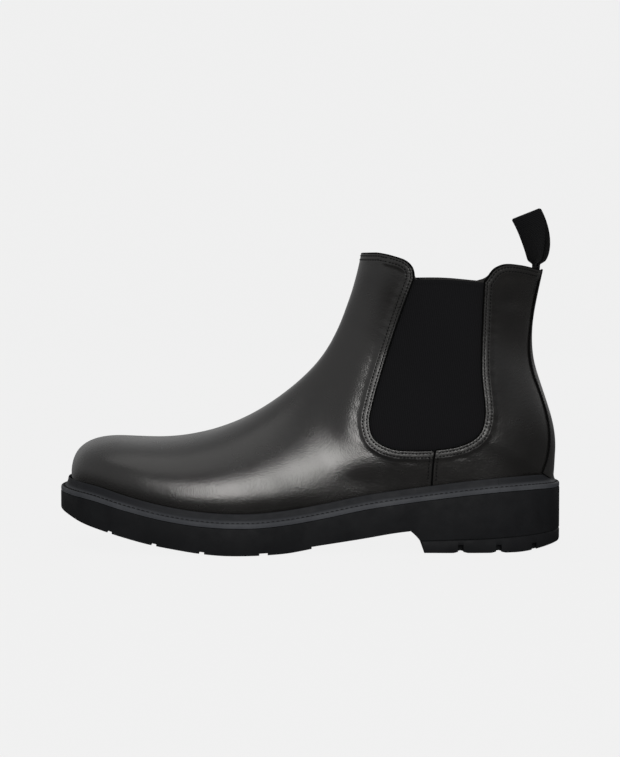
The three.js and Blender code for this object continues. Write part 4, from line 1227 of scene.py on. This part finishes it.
def build_footbed():
    """A thin cushioned sole inside the boot, a little hollow along its middle."""
    outer, inner = two_sides(inset_loop(feather_inset(plan_loop[:, 0]) + FOOTBED_INSET))
    middle = np.linspace(*FOOTBED_ENDS, 150)
    ends = np.linspace(0, 1, 14)[1:-1] ** 2 * 3
    x = np.unique(np.concatenate([middle, FOOTBED_ENDS[0] + ends, FOOTBED_ENDS[1] - ends]))[:, None]
    low, width = np.interp(x, *outer.T), np.interp(x, *inner.T) - np.interp(x, *outer.T)
    share = np.linspace(0, 1, 31)
    edge = np.minimum(share, 1 - share) * width
    end = np.minimum(x - x[0], x[-1] - x)
    drop, reach = FOOTBED_EDGE
    top = base_height(x) + FOOTBED_HEIGHT[1] - drop * np.exp(-np.minimum(edge, end) / reach)
    top -= FOOTBED_DISH * np.sin(np.pi * share) * smooth_step(0, 12, end)
    bottom = base_height(x) + FOOTBED_HEIGHT[0]
    upper, lower = (np.stack(np.broadcast_arrays(x, low + width * share, z), -1) for z in (top, bottom))
    shape = Shape()
    shape.add_grid(upper)
    shape.add_grid(lower, flip=True)
    border = [(0, slice(None)), (-1, slice(None)), (slice(None), 0), (slice(None), -1)]
    for at in border:
        shape.add_grid(np.array([upper[at], lower[at]]))
    piece = make_piece("footbed", shape, [FOOTBED_DARK], ["footbed"])


# ------------------------------------------------------------------ the pull tab
def tab_rows():
    """Middle and width direction along the free part of the tape, from end to end."""
    rows = []
    for s in np.linspace(0, 1, 97):
        rise = max(math.cos(math.pi * (s - 0.5)), 0) ** 0.8
        turn = math.radians(TAB_TWIST[0] * smooth_step(0, 0.08, rise) + TAB_TWIST[1] * rise)
        tilt = math.radians(TAB_ROLL) * smooth_step(0.3, 1, rise)
        spread = 0.6 * TAB_THICK + TAB_GAP / 2 * math.sin(math.pi * rise**0.8) ** 1.2
        cos_turn, sin_turn, cos_tilt = math.cos(turn), math.sin(turn), math.cos(tilt)
        wide = np.array([sin_turn * cos_tilt, -cos_turn * cos_tilt, math.sin(tilt)])
        thick = np.array([cos_turn, sin_turn, 0]) * np.sign(s - 0.5)
        height = TAB_FOOT + (TAB_LENGTH - TAB_FOOT) * rise
        middle = np.array([TAB_PIVOT[0] + TAB_LEAN * rise**2.5, 0, TAB_PIVOT[1] + height])
        rows.append((middle + thick * spread, wide))
    return rows


def back_seam(z):
    """x of the upper's back seam at a height."""
    u = np.linspace(HEEL_ROW, LAST, 400)
    seam = surface(u, np.ones(400))
    return np.interp(z, seam[:, 2], seam[:, 0])


def build_tab():
    """One loop of webbing; its two ends go down between the leather and the lining."""
    flat = np.array([0.0, -1.0, 0.0])
    front = [(np.array([back_seam(z) - depth - half, 0, z]), flat) for z, depth, half in TAB_ROOT[::-1]]
    back = [(np.array([back_seam(z) - depth + half, 0, z]), flat) for z, depth, half in TAB_ROOT]
    path, wides = (np.array(rows) for rows in zip(*front, *tab_rows(), *back))
    run = run_length(path)
    places = np.linspace(0, run[-1], 150)
    path, wides = rows_at(places, run, path), rows_at(places, run, wides)
    out = unit(np.cross(wides, np.gradient(path, axis=0)))
    across = np.linspace(-1, 1, 23)
    rim = 0.5 * TAB_THICK
    curl = np.clip((1 - np.abs(across)) * TAB_WIDTH / 2 / rim, 0, 1)
    half = rim * np.sqrt(1 - (1 - curl) ** 2) * 0.8 + rim * 0.2
    ring_y = np.concatenate([across, across[::-1]]) * TAB_WIDTH / 2
    ring_z = np.concatenate([half, -half[::-1]])
    pressed, free = TAB_PRESSED
    low = np.clip((free - path[:, 2]) / (free - pressed), 0, 1)[:, None]
    grid = path[:, None] + wides[:, None] * ring_y[None, :, None]
    grid = grid + out[:, None] * (ring_z[None] * (1 - TAB_THINNED * low))[..., None]
    grid[..., 0] -= low * grid[..., 1] ** 2 / TAB_HUG
    shape = Shape()
    shape.add_grid(grid, wrap_columns=True)
    ring = list(range(len(ring_y)))
    shape.add(grid[0], [ring])
    shape.add(grid[-1], [ring[::-1]])
    tab = make_piece("pull_tab", shape, [WEBBING_BLACK], body=None, weld=0)
    tape = np.stack(np.broadcast_arrays(ring_y, places[:, None], 0.0), -1)
    store(tab, "tape", np.vstack([tape.reshape(-1, 3), tape[0], tape[-1]]) * MM, "FLOAT_VECTOR")
    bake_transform(tab)
    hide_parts("pull_tab", "pull_tab_root")


# ------------------------------------------------------------------ all pieces
vamp = build_leather("vamp", UPPER_A, vamp_outline, np.vstack([[(0, COLLAR_FRONT[0][1])], vamp_edge]))
quarters = {}
for side, name in QUARTER_NAMES.items():
    quarters[side] = build_leather(name, np.linspace(0, 1, 111) * side, quarter_outlines[side],
                                   quarter_edges[side])
build_gore("gore_lateral", -1)
build_gore("gore_medial", 1)
strap = build_strap()
build_lining("lining_front", "vamp_lining", front_part)
build_lining("lining_back", "quarter_lining", back_part)
build_footbed()
build_tab()

# Stations of the heel's wear piece: where it has some height.
LIFT_X = SOLE_X[(SOLE_X > BREAST_TOP) & (heel_front(SOLE_X) < lift_top(SOLE_X) - 0.05)]
sole_shape = block(SOLE_X, sole_bottom, sole_top, SOLE_WALL)
lift_shape = block(LIFT_X, lift_bottom, lift_top, LIFT_WALL, True)
make_piece("sole_unit", sole_shape, [SOLE_BLACK], ["sole_unit"], sharp=32)
make_piece("heel_top_lift", lift_shape, [SOLE_BLACK], ["heel_top_lift"], sharp=32)
welt_path, rand_path = welt_paths()
mark_height(make_piece("welt", strip(welt_path), [WELT_BLACK], ["welt"], sharp=50))
mark_height(make_piece("heel_rand", strip(rand_path), [WELT_BLACK], ["heel_rand"], sharp=50))


def build_stitches():
    """All rows of stitches of the upper, each lying on the finished pieces."""
    shape = Shape()
    tree = surface_tree([vamp, *quarters.values(), strap])
    fine = {"pitch": STITCH_PITCH, "length": 1.45, "radius": 0.44, "sink": 0.1}
    hidden = {**fine, "radius": 0.3, "sink": 0.18}
    side_edge = vamp_edge[np.argmax(vamp_edge[:, 0] > COLLAR_TURN):]
    for side in (-1, 1):
        for row in STITCH_ROWS:
            for line in (shift_line(side_edge, -row), shift_line(quarter_edges[side], -row)[1:-4]):
                add_stitches(shape, *drape(line, side, tree), slant=0.12, **fine)
        for row in (SEAM_ROW, -SEAM_ROW):
            add_stitches(shape, *drape(shift_line(seam_line, row)[4:-12], side, tree), **fine)
        add_stitches(shape, *drape(shift_line(strap_line, STRAP_ROW)[4:-16], side, tree), **hidden)
    for row in STITCH_ROWS:
        add_stitches(shape, *collar_row(row, tree), **fine)
    make_piece("stitches", shape, [THREAD_BLACK], weld=0)


def build_welt_stitches():
    """The rows of stitches in the groove of the welt and of the rand."""
    for name, path in (("welt_stitches", welt_path), ("rand_stitches", rand_path)):
        shape = Shape()
        line = welt_line(path, *WELT_STITCH)[2:-2]
        normals = np.tile([0.0, 0.0, 1.0], (len(line), 1))
        add_stitches(shape, line, normals, pitch=3.0, length=2.1, radius=0.75, sink=0.1)
        make_piece(name, shape, [WELT_THREAD], weld=0)


build_stitches()
build_welt_stitches()

# Materials of the CAD pieces inside the boot, which have no visual piece of their own.
HIDDEN = {
    "toe_puff": PUFF_GREY, "heel_counter": LINING_DARK, "midsole": BOARD_BROWN,
    "cork_filler": CORK_BROWN, "shank": STEEL_GREY, "insole_board": BOARD_BROWN,
}
for node, material in HIDDEN.items():
    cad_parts[node].data.materials.clear()
    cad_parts[node].data.materials.append(material)


# ------------------------------------------------------------------ floor, lights and camera
FLOOR_RADIUS = 4.0       # metres, as are all numbers of the studio
FLOOR_BEND = 2.5
FLOOR_GLOW = 0.86
WARM = (1, 0.985, 0.96)
LIGHT_AIM = (0, 0, 0.08)
# Name, place, what it points at, width and height, power.
SOFTBOXES = [
    ("front_softbox", (0.15, -1.6, 0.74), (0.05, 0, 0.08), (0.72, 1.1), 26),
    ("top_softbox", (-0.1, -0.1, 1.8), LIGHT_AIM, (1.3, 1.3), 4),
    ("back_softbox", (0.7, 1.8, 0.8), LIGHT_AIM, (1.7, 1.1), 4.3),
]
WORLD_GLOW = (0.07, 0.62)    # below and above the horizon
WORLD_LEAN = 0.2             # how much more of it comes from the toe's side
CAMERA_AT = (0, -1.35, 0.19)
CAMERA_AIM = (0, 0, 0.1016)
CAMERA_LENS = 105.47


def build_floor():
    """A pale round floor that curves up far away, so the background is plain from all sides."""
    bend = np.linspace(0, np.pi / 3, 14)[1:]
    flat = np.linspace(0, FLOOR_RADIUS, 9)[1:]
    radius = np.concatenate([flat, FLOOR_RADIUS + FLOOR_BEND * np.sin(bend)])[:, None]
    height = np.concatenate([0 * flat, FLOOR_BEND * (1 - np.cos(bend))])[:, None]
    turn = np.linspace(0, 2 * np.pi, 97)[:-1]
    grid = np.stack(np.broadcast_arrays(radius * np.cos(turn), radius * np.sin(turn), height), -1)
    shape = Shape()
    shape.add_grid(grid / MM, wrap_columns=True)
    shape.add([(0, 0, 0)], [])
    centre = shape.count - 1
    shape.faces += [(centre, i, (i + 1) % len(turn)) for i in range(len(turn))]
    material, _, shader = new_material("floor", (0.012, 0.012, 0.012), 0.9, Specular_IOR_Level=0.0)
    shader.inputs["Emission Color"].default_value = (1, 1, 1, 1)
    shader.inputs["Emission Strength"].default_value = FLOOR_GLOW
    mesh = new_mesh("floor", shape, [material])
    mesh.shade_smooth()
    floor = in_scene("floor", mesh)
    floor.visible_glossy = False


def aim(item, at, target):
    """Puts a lamp or the camera at a place and turns it to a target."""
    item.location = at
    item.rotation_euler = (Vector(target) - Vector(at)).to_track_quat("-Z", "Y").to_euler()


def build_world():
    """Soft light from all round: dim below the horizon, brighter above it."""
    world = bpy.data.worlds.new("studio")
    world.use_nodes = True
    tree = world.node_tree
    direction = add_node(tree, "TexCoord").outputs["Generated"]
    parts = add_node(tree, "SeparateXYZ", Vector=direction).outputs
    lean = math_node(tree, "MULTIPLY", parts["X"], WORLD_LEAN)
    height = math_node(tree, "SUBTRACT", parts["Z"], lean)
    background = tree.nodes["Background"]
    background.inputs["Color"].default_value = (1, 1, 1, 1)
    feed(tree, background, Strength=smooth_ramp(tree, height, -0.3, 0.5, *WORLD_GLOW))
    bpy.context.scene.world = world


def build_light():
    build_world()
    for name, at, target, size, power in SOFTBOXES:
        light = bpy.data.lights.new(name, "AREA")
        light.shape = "RECTANGLE"
        light.size, light.size_y = size
        light.energy = power
        light.color = WARM
        lamp = in_scene(name, light)
        lamp.visible_camera = False
        aim(lamp, at, target)


def build_camera():
    camera = in_scene("camera", bpy.data.cameras.new("camera"))
    camera.data.sensor_width = 36
    camera.data.lens = CAMERA_LENS
    aim(camera, CAMERA_AT, CAMERA_AIM)
    bpy.context.scene.camera = camera


build_floor()
build_light()
build_camera()
bpy.context.scene.view_settings.view_transform = "Standard"
